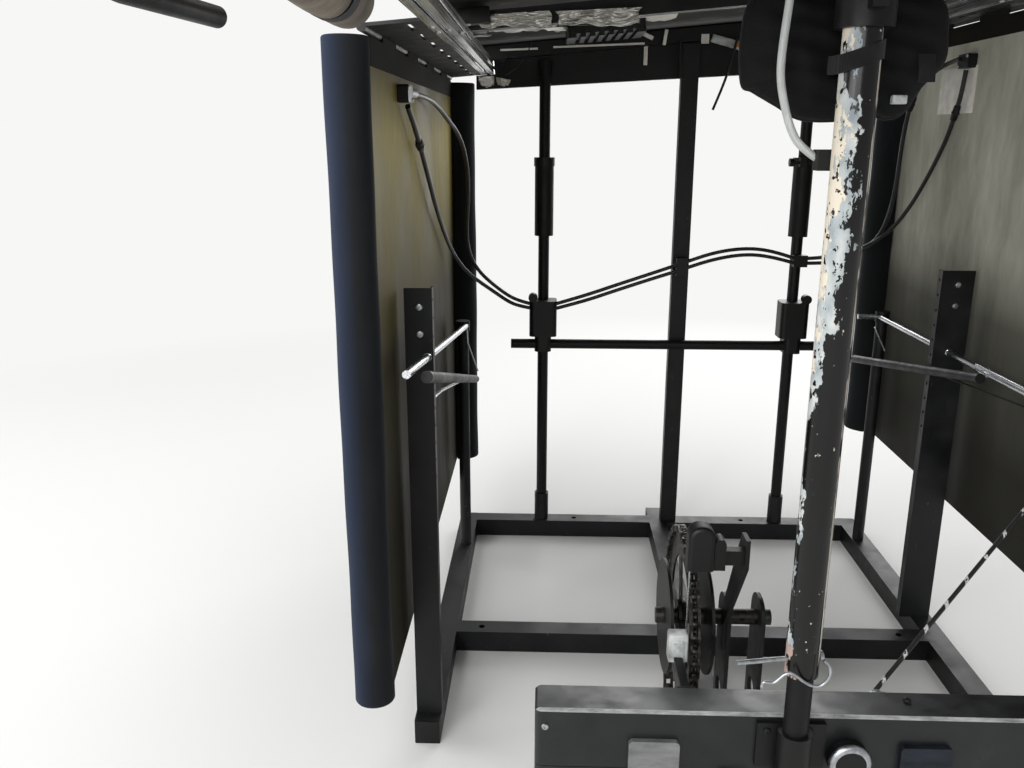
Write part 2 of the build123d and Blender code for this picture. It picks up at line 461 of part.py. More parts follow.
def case():
    """A hood clamped to the mast, and the tray that drops from it about its rear edge."""
    hood = across_case(
        [(CASE_Y0, CASE_SPLIT), (CASE_Y1, CASE_SPLIT), (CASE_Y1, CASE_TOP_REAR), (CASE_Y0, CASE_TOP)], 0
    )
    hood = fillet(hood.edges().filter_by(Axis.Z), CASE_CORNER)
    hood = chamfer(hood.faces().sort_by(Axis.Z)[-1].edges(), CASE_BEVEL)
    w = CASE_WALL
    y0, y1 = CASE_Y0 + w, CASE_Y1 - w
    hollow = [(y0, CASE_SPLIT - 1), (y1, CASE_SPLIT - 1), (y1, CASE_TOP_REAR - w), (y0, CASE_TOP - w)]
    hood -= across_case(hollow, w)
    tray = block(CASE_X0, CASE_X1, CASE_Y0, CASE_Y1, CASE_LOW, CASE_SPLIT - SPLIT_GAP)
    tray = fillet(tray.edges().filter_by(Axis.Z), CASE_CORNER)
    tray = chamfer(tray.faces().sort_by(Axis.Z)[0].edges(), CASE_BEVEL)
    tray -= block(CASE_X0 + w, CASE_X1 - w, y0, y1, CASE_LOW + w, CASE_SPLIT)
    axis_y, axis_z = CASE_Y1 + TRAY_KNUCKLE_R + 0.5, CASE_SPLIT
    for x0, x1 in ((-150, -120), (-15, 15), (120, 150)):
        hood += rod_x(TRAY_KNUCKLE_R, x0, x1, axis_y, axis_z)
        hood += block(x0, x1, CASE_Y1 - 1, axis_y, axis_z + 0.4, axis_z + 3.4)
    hood += rod_x(TRAY_PIN_R, -150, 150, axis_y, axis_z)
    for x0, x1 in ((-119, -80), (80, 119)):
        tray += rod_x(TRAY_KNUCKLE_R, x0, x1, axis_y, axis_z)
        tray += block(x0, x1, CASE_Y1 - 1, axis_y, axis_z - 3.4, axis_z - 1.0)
        tray -= rod_x(TRAY_PIN_R + RUNNING, x0 - 1, x1 + 1, axis_y, axis_z)
    pieces["case_hood"] = hood
    pieces["case_tray"] = tray
    latches = []
    for _, s in SIDES:
        x = s * LATCH_X
        x0, x1, z0 = x - LATCH_W / 2, x + LATCH_W / 2, LATCH_LOW
        latch = block(x0, x1, CASE_Y0 - LATCH_T, CASE_Y0 - 0.3, z0, z0 + LATCH_H)
        latch = fillet(latch.edges().filter_by(Axis.Y), 4)
        latch += block(x - 10, x + 10, CASE_Y0 - 1, CASE_Y0, z0 + 1, z0 + 9)
        latch += block(x0 + 4, x1 - 4, CASE_Y0 - LATCH_T - 3, CASE_Y0 - LATCH_T, z0, z0 + 5)
        latches.append(latch)
    pull = block(-55, -30, CASE_Y0 - 7, CASE_Y0, CASE_SPLIT - 22, CASE_SPLIT - 2)
    latches.append(fillet(pull.edges().filter_by(Axis.Y), 3))
    pieces["case_latches"] = Compound(latches)
    bore = INNER_R + 0.05
    clamp = rod_z(bore + 3.5, CASE_SPLIT + 8, CASE_TOP - 6) + block(
        -28, 28, 9, CASE_Y0, CASE_SPLIT + 8, CASE_TOP - 6
    )
    clamp -= rod_z(bore, CASE_SPLIT, CASE_TOP)
    clamp -= block(-40, 40, CASE_Y0, 30, CASE_SPLIT, CASE_TOP)
    pieces["case_clamp"] = clamp
    knob = fillet(rod_y(KNOB_R, CASE_Y0 - 14, CASE_Y0 - 3, KNOB_X, KNOB_Z).edges().sort_by(Axis.Y)[0], 3)
    knob += rod_y(6, CASE_Y0 - 4, CASE_Y0, KNOB_X, KNOB_Z)
    pieces["case_knob"] = knob


def pitch_radius(teeth):
    return LINK / (2 * math.sin(math.pi / teeth))


def centre_distance():
    """The distance at which a chain of CHAIN_LINKS wraps both wheels, by halving the error."""
    total = CHAIN_LINKS * LINK
    big, small = pitch_radius(RING_TEETH), pitch_radius(SPROCKET_TEETH)
    low, high = big + small, total / 2
    for _ in range(60):
        gap = (low + high) / 2
        lean = math.asin((big - small) / gap)
        wrap = (math.pi + 2 * lean) / (2 * math.pi) * RING_TEETH * LINK
        wrap += (math.pi - 2 * lean) / (2 * math.pi) * SPROCKET_TEETH * LINK
        if wrap + 2 * gap * math.cos(lean) > total:
            high = gap
        else:
            low = gap
    return (low + high) / 2


SPROCKET_Z = RING_Z - centre_distance()


def toothed_wheel(teeth, hole):
    """A flat wheel's outline with a tooth midway between each two rollers, and a roller's gap at +X."""
    radius = pitch_radius(teeth)
    tooth = ((-4.4, -4.4), (-2.1, -2.5), (TOOTH_TIP, -0.9), (TOOTH_TIP, 0.9), (-2.1, 2.5), (-4.4, 4.4))
    outline = []
    for index in range(teeth):
        turn = 2 * math.pi / teeth * (index + 0.5)
        for outward, across in tooth:
            reach = radius + outward
            outline.append(
                (
                    reach * math.cos(turn) - across * math.sin(turn),
                    reach * math.sin(turn) + across * math.cos(turn),
                )
            )
    return Polygon(*outline, align=None) - Circle(hole)


def chain_path():
    """Pin centres (y, z) round both wheels, one for each link, starting at the ring's +Y side."""
    big, small = pitch_radius(RING_TEETH), pitch_radius(SPROCKET_TEETH)
    gap = RING_Z - SPROCKET_Z
    lean = math.asin((big - small) / gap)
    run = gap * math.cos(lean)
    arc_big = (math.pi + 2 * lean) / (2 * math.pi) * RING_TEETH * LINK
    arc_small = (math.pi - 2 * lean) / (2 * math.pi) * SPROCKET_TEETH * LINK
    total = arc_big + arc_small + 2 * run
    pins = []
    for index in range(CHAIN_LINKS):
        along = index / CHAIN_LINKS * total
        along = (along - (arc_big / 2)) % total
        if along < run:
            turn = -lean
            y0, z0 = big * math.cos(turn), RING_Z + big * math.sin(turn)
            y1, z1 = small * math.cos(turn), SPROCKET_Z + small * math.sin(turn)
            share = along / run
            pins.append((y0 + (y1 - y0) * share, z0 + (z1 - z0) * share))
        elif along < run + arc_small:
            turn = -lean - (along - run) / (SPROCKET_TEETH * LINK) * 2 * math.pi
            pins.append((small * math.cos(turn), SPROCKET_Z + small * math.sin(turn)))
        elif along < 2 * run + arc_small:
            turn = math.pi + lean
            y0, z0 = small * math.cos(turn), SPROCKET_Z + small * math.sin(turn)
            y1, z1 = big * math.cos(turn), RING_Z + big * math.sin(turn)
            share = (along - run - arc_small) / run
            pins.append((y0 + (y1 - y0) * share, z0 + (z1 - z0) * share))
        else:
            turn = math.pi + lean - (along - 2 * run - arc_small) / (RING_TEETH * LINK) * 2 * math.pi
            pins.append((big * math.cos(turn), RING_Z + big * math.sin(turn)))
    return pins


def relay():
    height = RING_Z + TOWER_HALF
    plates = []
    for _, s in SIDES:
        x0, x1 = s * BEAM / 2, s * (BEAM / 2 + TOWER_T)
        plate = block(x0, x1, RELAY_Y - TOWER_HALF, RELAY_Y + TOWER_HALF, 2, height)
        plate = fillet(plate.edges().filter_by(Axis.X).group_by(Axis.Z)[-1], TOWER_HALF * 0.9)
        for z in (RING_Z, SPROCKET_Z):
            plate -= rod_x(SHAFT_R + RUNNING, x0 - s, x1 + s, RELAY_Y, z)
        plate -= rod_x(14, x0 - s, x1 + s, RELAY_Y, (RING_Z + SPROCKET_Z) / 2)
        plates.append(plate)
    pieces["relay_plates"] = Compound(plates)
    ring = rod_x(SHAFT_R, GUARD_X[0] - 8, BEAM / 2 + TOWER_T + 10, RELAY_Y, RING_Z)
    flat = toothed_wheel(RING_TEETH, 62.0)
    for index in range(5):
        arm = Rot(0, 0, 72 * index + 18) * (Pos(40, 0) * Rectangle(56, 13))
        flat += arm
    flat -= Circle(7)
    turn = Pos(RING_X, RELAY_Y, RING_Z) * Rot(0, 90, 0)
    ring += turn * extrude(flat, 1.0, both=True)
    ring += rod_x(17, RING_X - 4, RING_X + 4, RELAY_Y, RING_Z)
    pieces["relay_ring"] = ring
    sprocket = rod_x(SHAFT_R, RING_X - 12, BEAM / 2 + TOWER_T + 8, RELAY_Y, SPROCKET_Z)
    turn = Pos(RING_X, RELAY_Y, SPROCKET_Z) * Rot(0, 90, 0)
    sprocket += turn * extrude(toothed_wheel(SPROCKET_TEETH, 7), 1.0, both=True)
    sprocket += rod_x(14, RING_X - 4, RING_X + 4, RELAY_Y, SPROCKET_Z)
    pieces["relay_sprocket"] = sprocket
    pieces["relay_chain"] = chain()
    guards = []
    for x in GUARD_X:
        cheek = rod_x(GUARD_R, x, x + GUARD_T, RELAY_Y, RING_Z)
        guards.append(cheek - rod_x(SHAFT_R + 0.05, x - 1, x + GUARD_T + 1, RELAY_Y, RING_Z))
    pieces["relay_guard"] = Compound(guards)
    pieces["chain_guide"] = chain_guide()


def chain_guide():
    """A domed block over the chain with a smaller lobe beside it, on an arm from the left tower plate."""
    y0, y1, low, high = 110.0, 131.0, 320.0, 350.5
    x0, x1 = RING_X - GUIDE_R, RING_X + GUIDE_R
    dome = block(x0, x1, y0, y1, low, high) + rod_y(GUIDE_R, y0, y1, RING_X, high)
    dome = fillet(dome.edges().filter_by(Axis.Z), 4)
    lobe = block(x1, x1 + 2 * LOBE_R, y0 + 3, y1 - 3, low, 345)
    lobe += rod_y(LOBE_R, y0 + 3, y1 - 3, x1 + LOBE_R, 345)
    plate_x = -BEAM / 2 - TOWER_T
    outline = [(182, 196), (194, 196), (194, 238), (131, 350), (112, 350), (112, 322), (182, 226)]
    arm = Polygon(*outline, align=None)
    arm = extrude(Plane.YZ.offset(plate_x - 4) * arm, 4)
    return dome + lobe + arm + block(-50, plate_x - 2, y0 + 6, y1 - 5, low + 4, low + 18)


def clear_of_teeth(y, z):
    """Whether a roller centred here stays clear of both wheels' teeth as they pass between the plates."""
    reach = TOOTH_TIP + ROLLER_R + 0.5
    wheels = ((RING_Z, pitch_radius(RING_TEETH)), (SPROCKET_Z, pitch_radius(SPROCKET_TEETH)))
    return all(math.hypot(y, z - centre) > radius + reach for centre, radius in wheels)


def chain():
    """One closed roller chain: two plate bands with a waist in each link, and rollers on the free runs."""
    pins = [(y + RELAY_Y, z) for y, z in chain_path()]
    outer, inner = [], []
    count = len(pins)
    for index, (y, z) in enumerate(pins):
        y_next, z_next = pins[(index + 1) % count]
        y_last, z_last = pins[index - 1]
        along = math.hypot(y_next - y_last, z_next - z_last)
        ny, nz = -(z_next - z_last) / along, (y_next - y_last) / along
        outer.append((y + ny * 4.1, z + nz * 4.1))
        inner.append((y - ny * 4.1, z - nz * 4.1))
        ym, zm = (y + y_next) / 2, (z + z_next) / 2
        step = math.hypot(y_next - y, z_next - z)
        ny, nz = -(z_next - z) / step, (y_next - y) / step
        outer.append((ym + ny * 2.7, zm + nz * 2.7))
        inner.append((ym - ny * 2.7, zm - nz * 2.7))
    face = Plane.YZ * (Polygon(*outer, align=None) - Polygon(*inner, align=None))
    if face.area < 0 or face.area > 1e5:
        raise ValueError("chain outline")
    solid = None
    for x0, x1 in ((ROLLER_HALF, PLATE_OUT), (-PLATE_OUT, -ROLLER_HALF)):
        band = Pos(RING_X + x0, 0, 0) * extrude(face, x1 - x0, dir=(1, 0, 0))
        solid = band if solid is None else solid + band
    rollers = [
        Pos(RING_X, y, z) * Rot(0, 90, 0) * extrude(RegularPolygon(ROLLER_R, 8), ROLLER_HALF, both=True)
        for y, z in pins
        if clear_of_teeth(y - RELAY_Y, z)
    ]
    return solid + rollers


def leads():
    """The two solar leads in three stretches each, and the thin hose by the mast. Free runs sag."""
    for name, radius, points in LEAD_ROUTES:
        runs = [math.dist(a, b) for a, b in zip(points, points[1:])]
        radii = []
        for index in range(1, len(points) - 1):
            a, b, c = (Vector(*points[index + step]) for step in (-1, 0, 1))
            turn = math.radians((b - a).get_angle(c - b))
            radii.append(round(0.45 * min(runs[index - 1], runs[index]) / math.tan(turn / 2), 1))
        path = FilletPolyline(*points, radius=radii)
        solid = sweep(Plane(origin=path @ 0, z_dir=path % 0) * Circle(radius), path=path)
        share = solid.volume / (math.pi * radius**2 * path.length)
        print(name, "length", round(path.length), "volume share", round(share, 4), "radii", radii)
        pieces[name] = solid
    y_face = REAR_Y - POST_R
    saddle = block(POST_X - 8, POST_X + 14, y_face - SADDLE_OUT, y_face + 3, 490, 509)
    saddle -= rod_z(POST_R + 0.05, 480, 510, POST_X, REAR_Y)
    y_flat = CENTRE_Y - CENTRE_D / 2
    tie = block(CENTRE_X - 9, CENTRE_X + 9, y_flat - TIE_OUT, y_flat, 474, 504)
    pieces["lead_ties"] = Compound([saddle, tie - pieces["lead_rear_a"] - pieces["lead_rear_b"]])
    clip = block(-20, -8, 6, 20, 676, 690) - rod_z(OUTER_R + 0.05, 675, 691)
    pieces["hose_clip"] = clip


LEAD_ROUTES = (
    ("lead_left_a", CABLE_R, (
        (-352, 356, 728.5), (-351, 384, 714), (-351, 432, 690), (-351, 491, 656), (-351, 564, 613),
        (-351, 650, 570), (-348, 737, 528), (-333, 764, 498), (-315, 795, 476), (-291, 826, 453),
        (-265, 850, 430), (-247, 862, 421.5), (-230, 862, 418.5),
    )),
    ("lead_left_b", CABLE_R, (
        (-352, 367, 743), (-351, 508, 744), (-348, 595, 735), (-340, 640, 719), (-332, 689, 703),
        (-325, 721, 676), (-323, 747, 642), (-324, 755, 604), (-328, 764, 561), (-327, 779, 523),
        (-314, 800, 491), (-291, 825, 464), (-265, 850, 440), (-246, 861, 430), (-230, 861, 426),
    )),
    ("lead_rear_a", CABLE_R, (
        (-188, 862, 418), (-142, 863, 430), (-88, 863, 449), (-36, 861, 467), (16, 860, 484),
        (72, 861, 503), (126, 864, 511), (172, 865, 505), (203, 864, 496),
    )),
    ("lead_rear_b", CABLE_R, (
        (-188, 861, 426), (-140, 862, 440), (-86, 862, 459), (-34, 860, 477), (18, 860, 495),
        (74, 861, 514.5), (128, 863, 521), (174, 865, 514), (203, 864, 503.5),
    )),
    ("lead_right_a", CABLE_R, (
        (221, 864, 496), (243, 864, 496.3), (268, 863, 498), (291, 853, 508.5), (308, 833, 525),
        (318, 810, 549), (321, 789, 582), (321, 775, 627), (317, 761, 675), (313, 745, 709),
        (311, 730, 739), (316, 716, 766), (327, 702, 783), (343.5, 690, 795), (344.2, 662, 797),
    )),
    ("lead_right_b", CABLE_R, (
        (221, 864, 503.8), (245, 863, 505), (271, 856, 511), (295, 832, 523), (311, 808, 538),
        (326, 789, 558), (339, 768, 589), (345, 739, 625), (349, 711, 663), (351, 688, 696),
        (352, 674, 727), (352, 662, 754), (353, 660, 783),
    )),
    ("mast_hose", HOSE_R, (
        (-46, 0, 832), (-47, 1, 808), (-48, 5, 780), (-50, 6, 754), (-50, 6, 736), (-45, 8, 718),
        (-39, 11, 703), (-31, 15, 692), (-18, 17, 684),
    )),
)


def soft_pieces():
    x, y, z, width, depth, height = POUCH
    pouch = Pos(x, y, z) * Box(width, depth, height)
    pouch = fillet(pouch.edges().filter_by(Axis.Y), 26)
    pieces["head_pouch"] = fillet(pouch.faces().sort_by(Axis.Y)[0].edges(), 12)


base_frame()
mast()
roof()
roof_rolls()
for side_name, side in SIDES:
    side_wall(side_name, side)
rear_posts()
uprights_and_rods()
case()
relay()
soft_pieces()
leads()

os.makedirs("parts", exist_ok=True)
for piece_name, shape in pieces.items():
    export_step(shape, "parts/" + piece_name + ".step")
print(len(pieces), "pieces")
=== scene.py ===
import json
import math
from functools import partial

import bmesh
import bpy
import numpy as np
from mathutils import Euler, Matrix


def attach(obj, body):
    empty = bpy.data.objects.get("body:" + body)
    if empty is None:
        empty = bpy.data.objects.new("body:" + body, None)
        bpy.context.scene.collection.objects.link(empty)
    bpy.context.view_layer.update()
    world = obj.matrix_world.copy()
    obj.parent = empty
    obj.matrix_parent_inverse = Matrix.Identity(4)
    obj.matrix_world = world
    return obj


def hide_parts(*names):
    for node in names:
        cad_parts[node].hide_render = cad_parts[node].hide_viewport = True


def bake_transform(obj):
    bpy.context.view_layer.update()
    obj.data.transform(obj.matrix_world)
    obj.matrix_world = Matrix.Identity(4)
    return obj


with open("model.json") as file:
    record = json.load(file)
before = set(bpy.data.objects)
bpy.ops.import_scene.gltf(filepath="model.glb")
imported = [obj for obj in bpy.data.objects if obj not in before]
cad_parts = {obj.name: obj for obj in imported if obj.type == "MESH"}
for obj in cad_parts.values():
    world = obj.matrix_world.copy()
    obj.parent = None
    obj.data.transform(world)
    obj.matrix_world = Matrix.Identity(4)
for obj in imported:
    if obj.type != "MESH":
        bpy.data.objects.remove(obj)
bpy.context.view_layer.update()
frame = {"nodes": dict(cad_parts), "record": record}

FOCAL_PX = 900.0  # focal length in pixels of the 1024 pixel wide picture
IMAGE_W = 1024.0
SENSOR = 36.0
CAMERA_AT = (-0.204, -0.632, 0.700)
PITCH_DOWN, YAW_LEFT = 15.5, 2.2
ROOF_TILT = math.radians(4.775)  # the roof stands higher on its right side
ROOF_HEIGHT = 0.818  # hinge plane over the mast
MAST_R = 0.013
HINGE_X = 0.3627  # hinge axes of the walls, at this distance from the middle
WALL_TOP = {"left": 0.7817, "right": 0.8423}
WALL_HEIGHT = 0.638
BACKDROP = "f7f7f6"
FLECK_STEP = 0.0233  # in x, between the flecks of the stretched cord
LEAD_D = 0.006
HOSE_D = 0.0055
CELL = 0.127  # pitch of the solar cells
CELLS_TO_REAR = 0.2265  # moves the first gap between the roof's cells on to its frame
BUSBAR_HALF = 0.0008
LAMINATE_MIDDLE = 0.0505  # over the hinge plane: halfway between the laminate's top and its back sheet
SHEET_FRONT = 0.0022  # from the hinge axis out to where a wall sheet's cells begin
FRONT_FOAM_TO_Y = 0.3
BETWEEN_LATCHES_X = -0.07
CASE_HIGHLIGHT_Y, CASE_HIGHLIGHT_Z = 0.0156, 0.2402  # the case's upper front edge carries a painted highlight in front of and above these
FLECK_SHARE = 0.17  # of each step, which is pale
CABIN_MIDDLE_Y = 0.45
FLOOR_SPAN = 4.0
FLOOR_HALF = 7.0
ROLL_R, ROLL_FRONT, ROLL_REAR, ROLL_X = 0.0185, -0.26, 0.052, 0.345
STRAP_INNER_R, STRAP_OUTER_R, STRAP_HALF = 0.0180, 0.0193, 0.008
FOAM_BORE_R = 0.0083  # just over the tube's own radius
POUCH_Y, POUCH_HALF = 0.041, 0.0205
FILM_BAR_Y, VALANCE_Y, REAR_BAR_Y = 0.4575, 0.886, 0.8668

# Cord routes in metres, wall end first where one end is on a wall
LEAD_LEFT_A = (
    (-0.352, 0.356, 0.7285), (-0.351, 0.384, 0.714), (-0.351, 0.432, 0.69), (-0.351, 0.491, 0.656),
    (-0.351, 0.564, 0.613), (-0.351, 0.65, 0.57), (-0.348, 0.737, 0.528), (-0.333, 0.764, 0.498),
    (-0.315, 0.795, 0.476), (-0.291, 0.826, 0.453), (-0.265, 0.85, 0.43), (-0.247, 0.862, 0.4215),
    (-0.23, 0.862, 0.4185),
)
LEAD_LEFT_B = (
    (-0.352, 0.367, 0.743), (-0.351, 0.508, 0.744), (-0.348, 0.595, 0.735), (-0.34, 0.64, 0.719),
    (-0.332, 0.689, 0.703), (-0.325, 0.721, 0.676), (-0.323, 0.747, 0.642), (-0.324, 0.755, 0.604),
    (-0.328, 0.764, 0.561), (-0.327, 0.779, 0.523), (-0.314, 0.8, 0.491), (-0.291, 0.825, 0.464),
    (-0.265, 0.85, 0.44), (-0.246, 0.861, 0.43), (-0.23, 0.861, 0.426),
)
LEAD_REAR_A = (
    (-0.188, 0.862, 0.418), (-0.142, 0.863, 0.43), (-0.088, 0.863, 0.449), (-0.036, 0.861, 0.467),
    (0.016, 0.86, 0.484), (0.072, 0.861, 0.503), (0.126, 0.864, 0.511), (0.172, 0.865, 0.505),
    (0.203, 0.864, 0.496),
)
LEAD_REAR_B = (
    (-0.188, 0.861, 0.426), (-0.14, 0.862, 0.44), (-0.086, 0.862, 0.459), (-0.034, 0.86, 0.477),
    (0.018, 0.86, 0.495), (0.074, 0.861, 0.5145), (0.128, 0.863, 0.521), (0.174, 0.865, 0.514),
    (0.203, 0.864, 0.5035),
)
LEAD_RIGHT_A = (
    (0.3442, 0.662, 0.797), (0.3435, 0.69, 0.795), (0.327, 0.702, 0.783), (0.316, 0.716, 0.766),
    (0.311, 0.73, 0.739), (0.313, 0.745, 0.709), (0.317, 0.761, 0.675), (0.321, 0.775, 0.627),
    (0.321, 0.789, 0.582), (0.318, 0.81, 0.549), (0.308, 0.833, 0.525), (0.291, 0.853, 0.5085),
    (0.268, 0.863, 0.498), (0.243, 0.864, 0.4963), (0.221, 0.864, 0.496),
)
LEAD_RIGHT_B = (
    (0.353, 0.66, 0.783), (0.352, 0.662, 0.754), (0.352, 0.674, 0.727), (0.351, 0.688, 0.696),
    (0.349, 0.711, 0.663), (0.345, 0.739, 0.625), (0.339, 0.768, 0.589), (0.326, 0.789, 0.558),
    (0.311, 0.808, 0.538), (0.295, 0.832, 0.523), (0.271, 0.856, 0.511), (0.245, 0.863, 0.505),
    (0.221, 0.864, 0.5038),
)
MAST_HOSE = (
    (-0.046, 0, 0.832), (-0.047, 0.001, 0.808), (-0.048, 0.005, 0.78), (-0.05, 0.006, 0.754),
    (-0.05, 0.006, 0.736), (-0.045, 0.008, 0.718), (-0.039, 0.011, 0.703), (-0.031, 0.015, 0.692),
    (-0.018, 0.017, 0.684),
)


def linear(code):
    """Linear colour of an sRGB hex code: c / 12.92 up to 0.04045, and ((c + 0.055) / 1.055) ** 2.4 above."""
    parts = [int(code[i : i + 2], 16) / 255 for i in (0, 2, 4)]
    return tuple(c / 12.92 if c <= 0.04045 else ((c + 0.055) / 1.055) ** 2.4 for c in parts) + (1.0,)


def set_inputs(tree, node, inputs):
    """Links each input to the output given for it, or sets it: a hex code as a colour, a value as it is."""
    for name, value in inputs.items():
        if isinstance(value, bpy.types.NodeSocket):
            tree.links.new(value, node.inputs[name])
        else:
            node.inputs[name].default_value = linear(value) if isinstance(value, str) else value


def add_node(tree, kind, inputs=None, stops=(), **settings):
    """Adds one shader node with its settings and inputs, and returns its outputs.

    Inputs go by name or number. Stops are a ramp's places, each with a hex code or a grey from 0 to 1.
    """
    node = tree.nodes.new("ShaderNode" + kind)
    for name, value in settings.items():
        setattr(node, name, value)
    set_inputs(tree, node, inputs or {})
    if stops:
        elements = node.color_ramp.elements
        while len(elements) < len(stops):
            elements.new(0.5)
        for element, (place, tone) in zip(elements, stops):
            element.position = place
            element.color = linear(tone) if isinstance(tone, str) else (tone, tone, tone, 1.0)
    return node.outputs


def finished(material, **sockets):
    """Links or sets sockets of the surface shader, an underscore standing for a space."""
    tree = material.node_tree
    named = {name.replace("_", " "): value for name, value in sockets.items()}
    set_inputs(tree, tree.nodes["Principled BSDF"], named)
    return material


def new_material(name, colour, roughness, **sockets):
    """A material, a function that adds a node to it, and the output that holds the piece's own metres."""
    material = bpy.data.materials.new(name)
    material.use_nodes = True
    finished(material, Base_Color=colour, Roughness=roughness, **sockets)
    add = partial(add_node, material.node_tree)
    return material, add, add("TexCoord")["Object"]


# Finishes. Patterns run on metres: noise of scale 40 has patches of 1000 / 40 = 25 mm, and the bands of a
# wave of scale 200 stand 314 / 200 = 1.6 mm apart. The sizes that they come from are in the docstrings.


def enamelled_steel():
    """Steel square tube in brushed black enamel: half gloss, dust in 45 mm patches, scuffs of 4 mm."""
    material, add, own = new_material("enamelled_steel", "17181a", 0.45, Specular_IOR_Level=0.28)
    dust = add("TexNoise", {"Vector": own, "Scale": 22.0, "Detail": 6.0, "Roughness": 0.6})[0]
    along = add("Mapping", {"Vector": own, "Scale": (1, 1, 0.2)})[0]
    scuff = add("TexNoise", {"Vector": along, "Scale": 260.0, "Detail": 4.0, "Roughness": 0.7})[0]
    dark = add("ValToRGB", {0: dust}, ((0.35, "0e0f10"), (0.62, "191a1a"), (0.8, "282827")))[0]
    worn = add("ValToRGB", {0: scuff}, ((0.66, 0.0), (0.72, 1.0)))[0]
    paint = add("Mix", {0: worn, 6: dark, 7: "4a4b4c"}, data_type="RGBA")[2]
    gloss = add("ValToRGB", {0: dust}, ((0.3, 0.36), (0.75, 0.62)))[0]
    relief = add("Bump", {"Height": scuff, "Distance": 0.0001, "Strength": 0.5})[0]
    return finished(material, Base_Color=paint, Roughness=gloss, Normal=relief)


# How far the bare steel reaches round the mast, over the share of its painted height
BARE_REACH = (
    (0.02, 0.30), (0.055, 0.12), (0.10, 0.0), (0.36, 0.0), (0.50, 0.34), (0.62, 0.58), (0.78, 0.62),
    (0.815, 0.25), (0.84, 0.2), (0.86, 0.5), (0.895, 0.5), (0.91, 0.0),
)
PAINT_FROM_Z, PAINT_SPAN = 0.28, 0.55
RUSTY_BELOW_Z = 0.318
# Where a painted highlight runs down the mast's right side, and its half width
HIGHLIGHT_LINE_AT, HIGHLIGHT_LINE_HALF = 0.93, 0.035  # across the mast, where its right side is 1


def chipped_enamel():
    """Steel tube whose black gloss enamel has chipped in flakes to blue-grey primer and cream undercoat.

    Across is -1 at the tube's left side as the rider's feet see it and 1 at its right. The bare part
    reaches from the left to a limit that depends on height, and noise of 10 mm frays its border. A second
    limit further left bares the cream coat. Islands of 5 mm kept their paint, flakes of 3 mm lie in the
    dark part, and a thin pale line down the right, broken by noise, is a painted highlight.
    """
    material, add, own = new_material("chipped_enamel", "141314", 0.2, Specular_IOR_Level=0.35)
    x, y, z = add("SeparateXYZ", {0: own})
    across = add("Math", {0: x, 1: 0.952 / MAST_R}, operation="MULTIPLY")[0]
    deep = add("Math", {0: y, 1: -0.307 / MAST_R}, operation="MULTIPLY")[0]
    across = add("Math", {0: across, 1: deep}, operation="ADD")[0]
    height = add("Math", {0: z, 1: PAINT_FROM_Z}, operation="SUBTRACT")[0]
    height = add("Math", {0: height, 1: PAINT_SPAN}, operation="DIVIDE")[0]
    limit = add("ValToRGB", {0: height}, BARE_REACH)[0]
    limit = add("Math", {0: limit, 1: 2.0}, operation="MULTIPLY")[0]
    limit = add("Math", {0: limit, 1: 1.02}, operation="SUBTRACT")[0]

    def spots(length, size, detail, roughness):
        """Noise stretched along the tube: length is its share of the height, size its scale."""
        drawn = add("Mapping", {"Vector": own, "Scale": (1, 1, length)})[0]
        return add("TexNoise", {"Vector": drawn, "Scale": size, "Detail": detail, "Roughness": roughness})[0]

    fray = add("Math", {0: spots(0.5, 95.0, 5.0, 0.65), 1: 0.5}, operation="SUBTRACT")[0]
    fray = add("Math", {0: fray, 1: 3.4}, operation="MULTIPLY")[0]
    depth = add("Math", {0: limit, 1: across}, operation="SUBTRACT")[0]
    depth = add("Math", {0: depth, 1: fray}, operation="ADD")[0]
    bare = add("Math", {0: depth, 1: 0.5}, operation="ADD")[0]
    bare = add("ValToRGB", {0: bare}, ((0.49, 0.0), (0.51, 1.0)))[0]
    cream = add("Math", {0: depth, 1: 0.5}, operation="MULTIPLY")[0]
    cream = add("Math", {0: cream, 1: 0.22}, operation="ADD")[0]
    cream = add("ValToRGB", {0: cream}, ((0.50, 0.0), (0.53, 1.0)))[0]
    kept = add("ValToRGB", {0: spots(0.7, 210.0, 3.0, 0.55)}, ((0.60, 1.0), (0.615, 0.0)))[0]
    bare = add("Math", {0: bare, 1: kept}, operation="MULTIPLY")[0]
    flake = add("ValToRGB", {0: spots(0.6, 330.0, 3.0, 0.55)}, ((0.70, 0.0), (0.715, 1.0)))[0]
    # Painted highlight: a thin pale line down the tube's right side as the camera sees it, broken by noise
    edge = add("Math", {0: across, 1: HIGHLIGHT_LINE_AT, 2: HIGHLIGHT_LINE_HALF}, operation="COMPARE")[0]
    broken = add("ValToRGB", {0: spots(0.15, 240.0, 4.0, 0.5)}, ((0.46, 0.0), (0.52, 1.0)))[0]
    line = add("Math", {0: edge, 1: broken}, operation="MULTIPLY")[0]
    tint = spots(0.5, 70.0, 4.0, 0.5)
    under = add("ValToRGB", {0: tint}, ((0.35, "808a90"), (0.52, "a8aeaf"), (0.68, "c9cac5")))[0]
    low = add("Math", {0: z, 1: RUSTY_BELOW_Z}, operation="LESS_THAN")[0]
    under = add("Mix", {0: low, 6: under, 7: "a08c84"}, data_type="RGBA")[2]
    layers = add("Mix", {0: cream, 6: under, 7: "d3cab9"}, data_type="RGBA")[2]
    pale = add("Math", {0: flake, 1: line}, operation="MAXIMUM")[0]
    painted = add("Mix", {0: pale, 6: "0d0c0c", 7: "b9b2a4"}, data_type="RGBA")[2]
    colour = add("Mix", {0: bare, 6: painted, 7: layers}, data_type="RGBA")[2]
    gloss = add("ValToRGB", {0: bare}, ((0.0, 0.22), (1.0, 0.55)))[0]
    gone = add("Math", {0: bare, 1: cream}, operation="ADD")[0]
    gone = add("Math", {0: gone, 1: -1.0}, operation="MULTIPLY")[0]
    relief = add("Bump", {"Height": gone, "Distance": 0.0002})[0]
    return finished(material, Base_Color=colour, Roughness=gloss, Normal=relief)


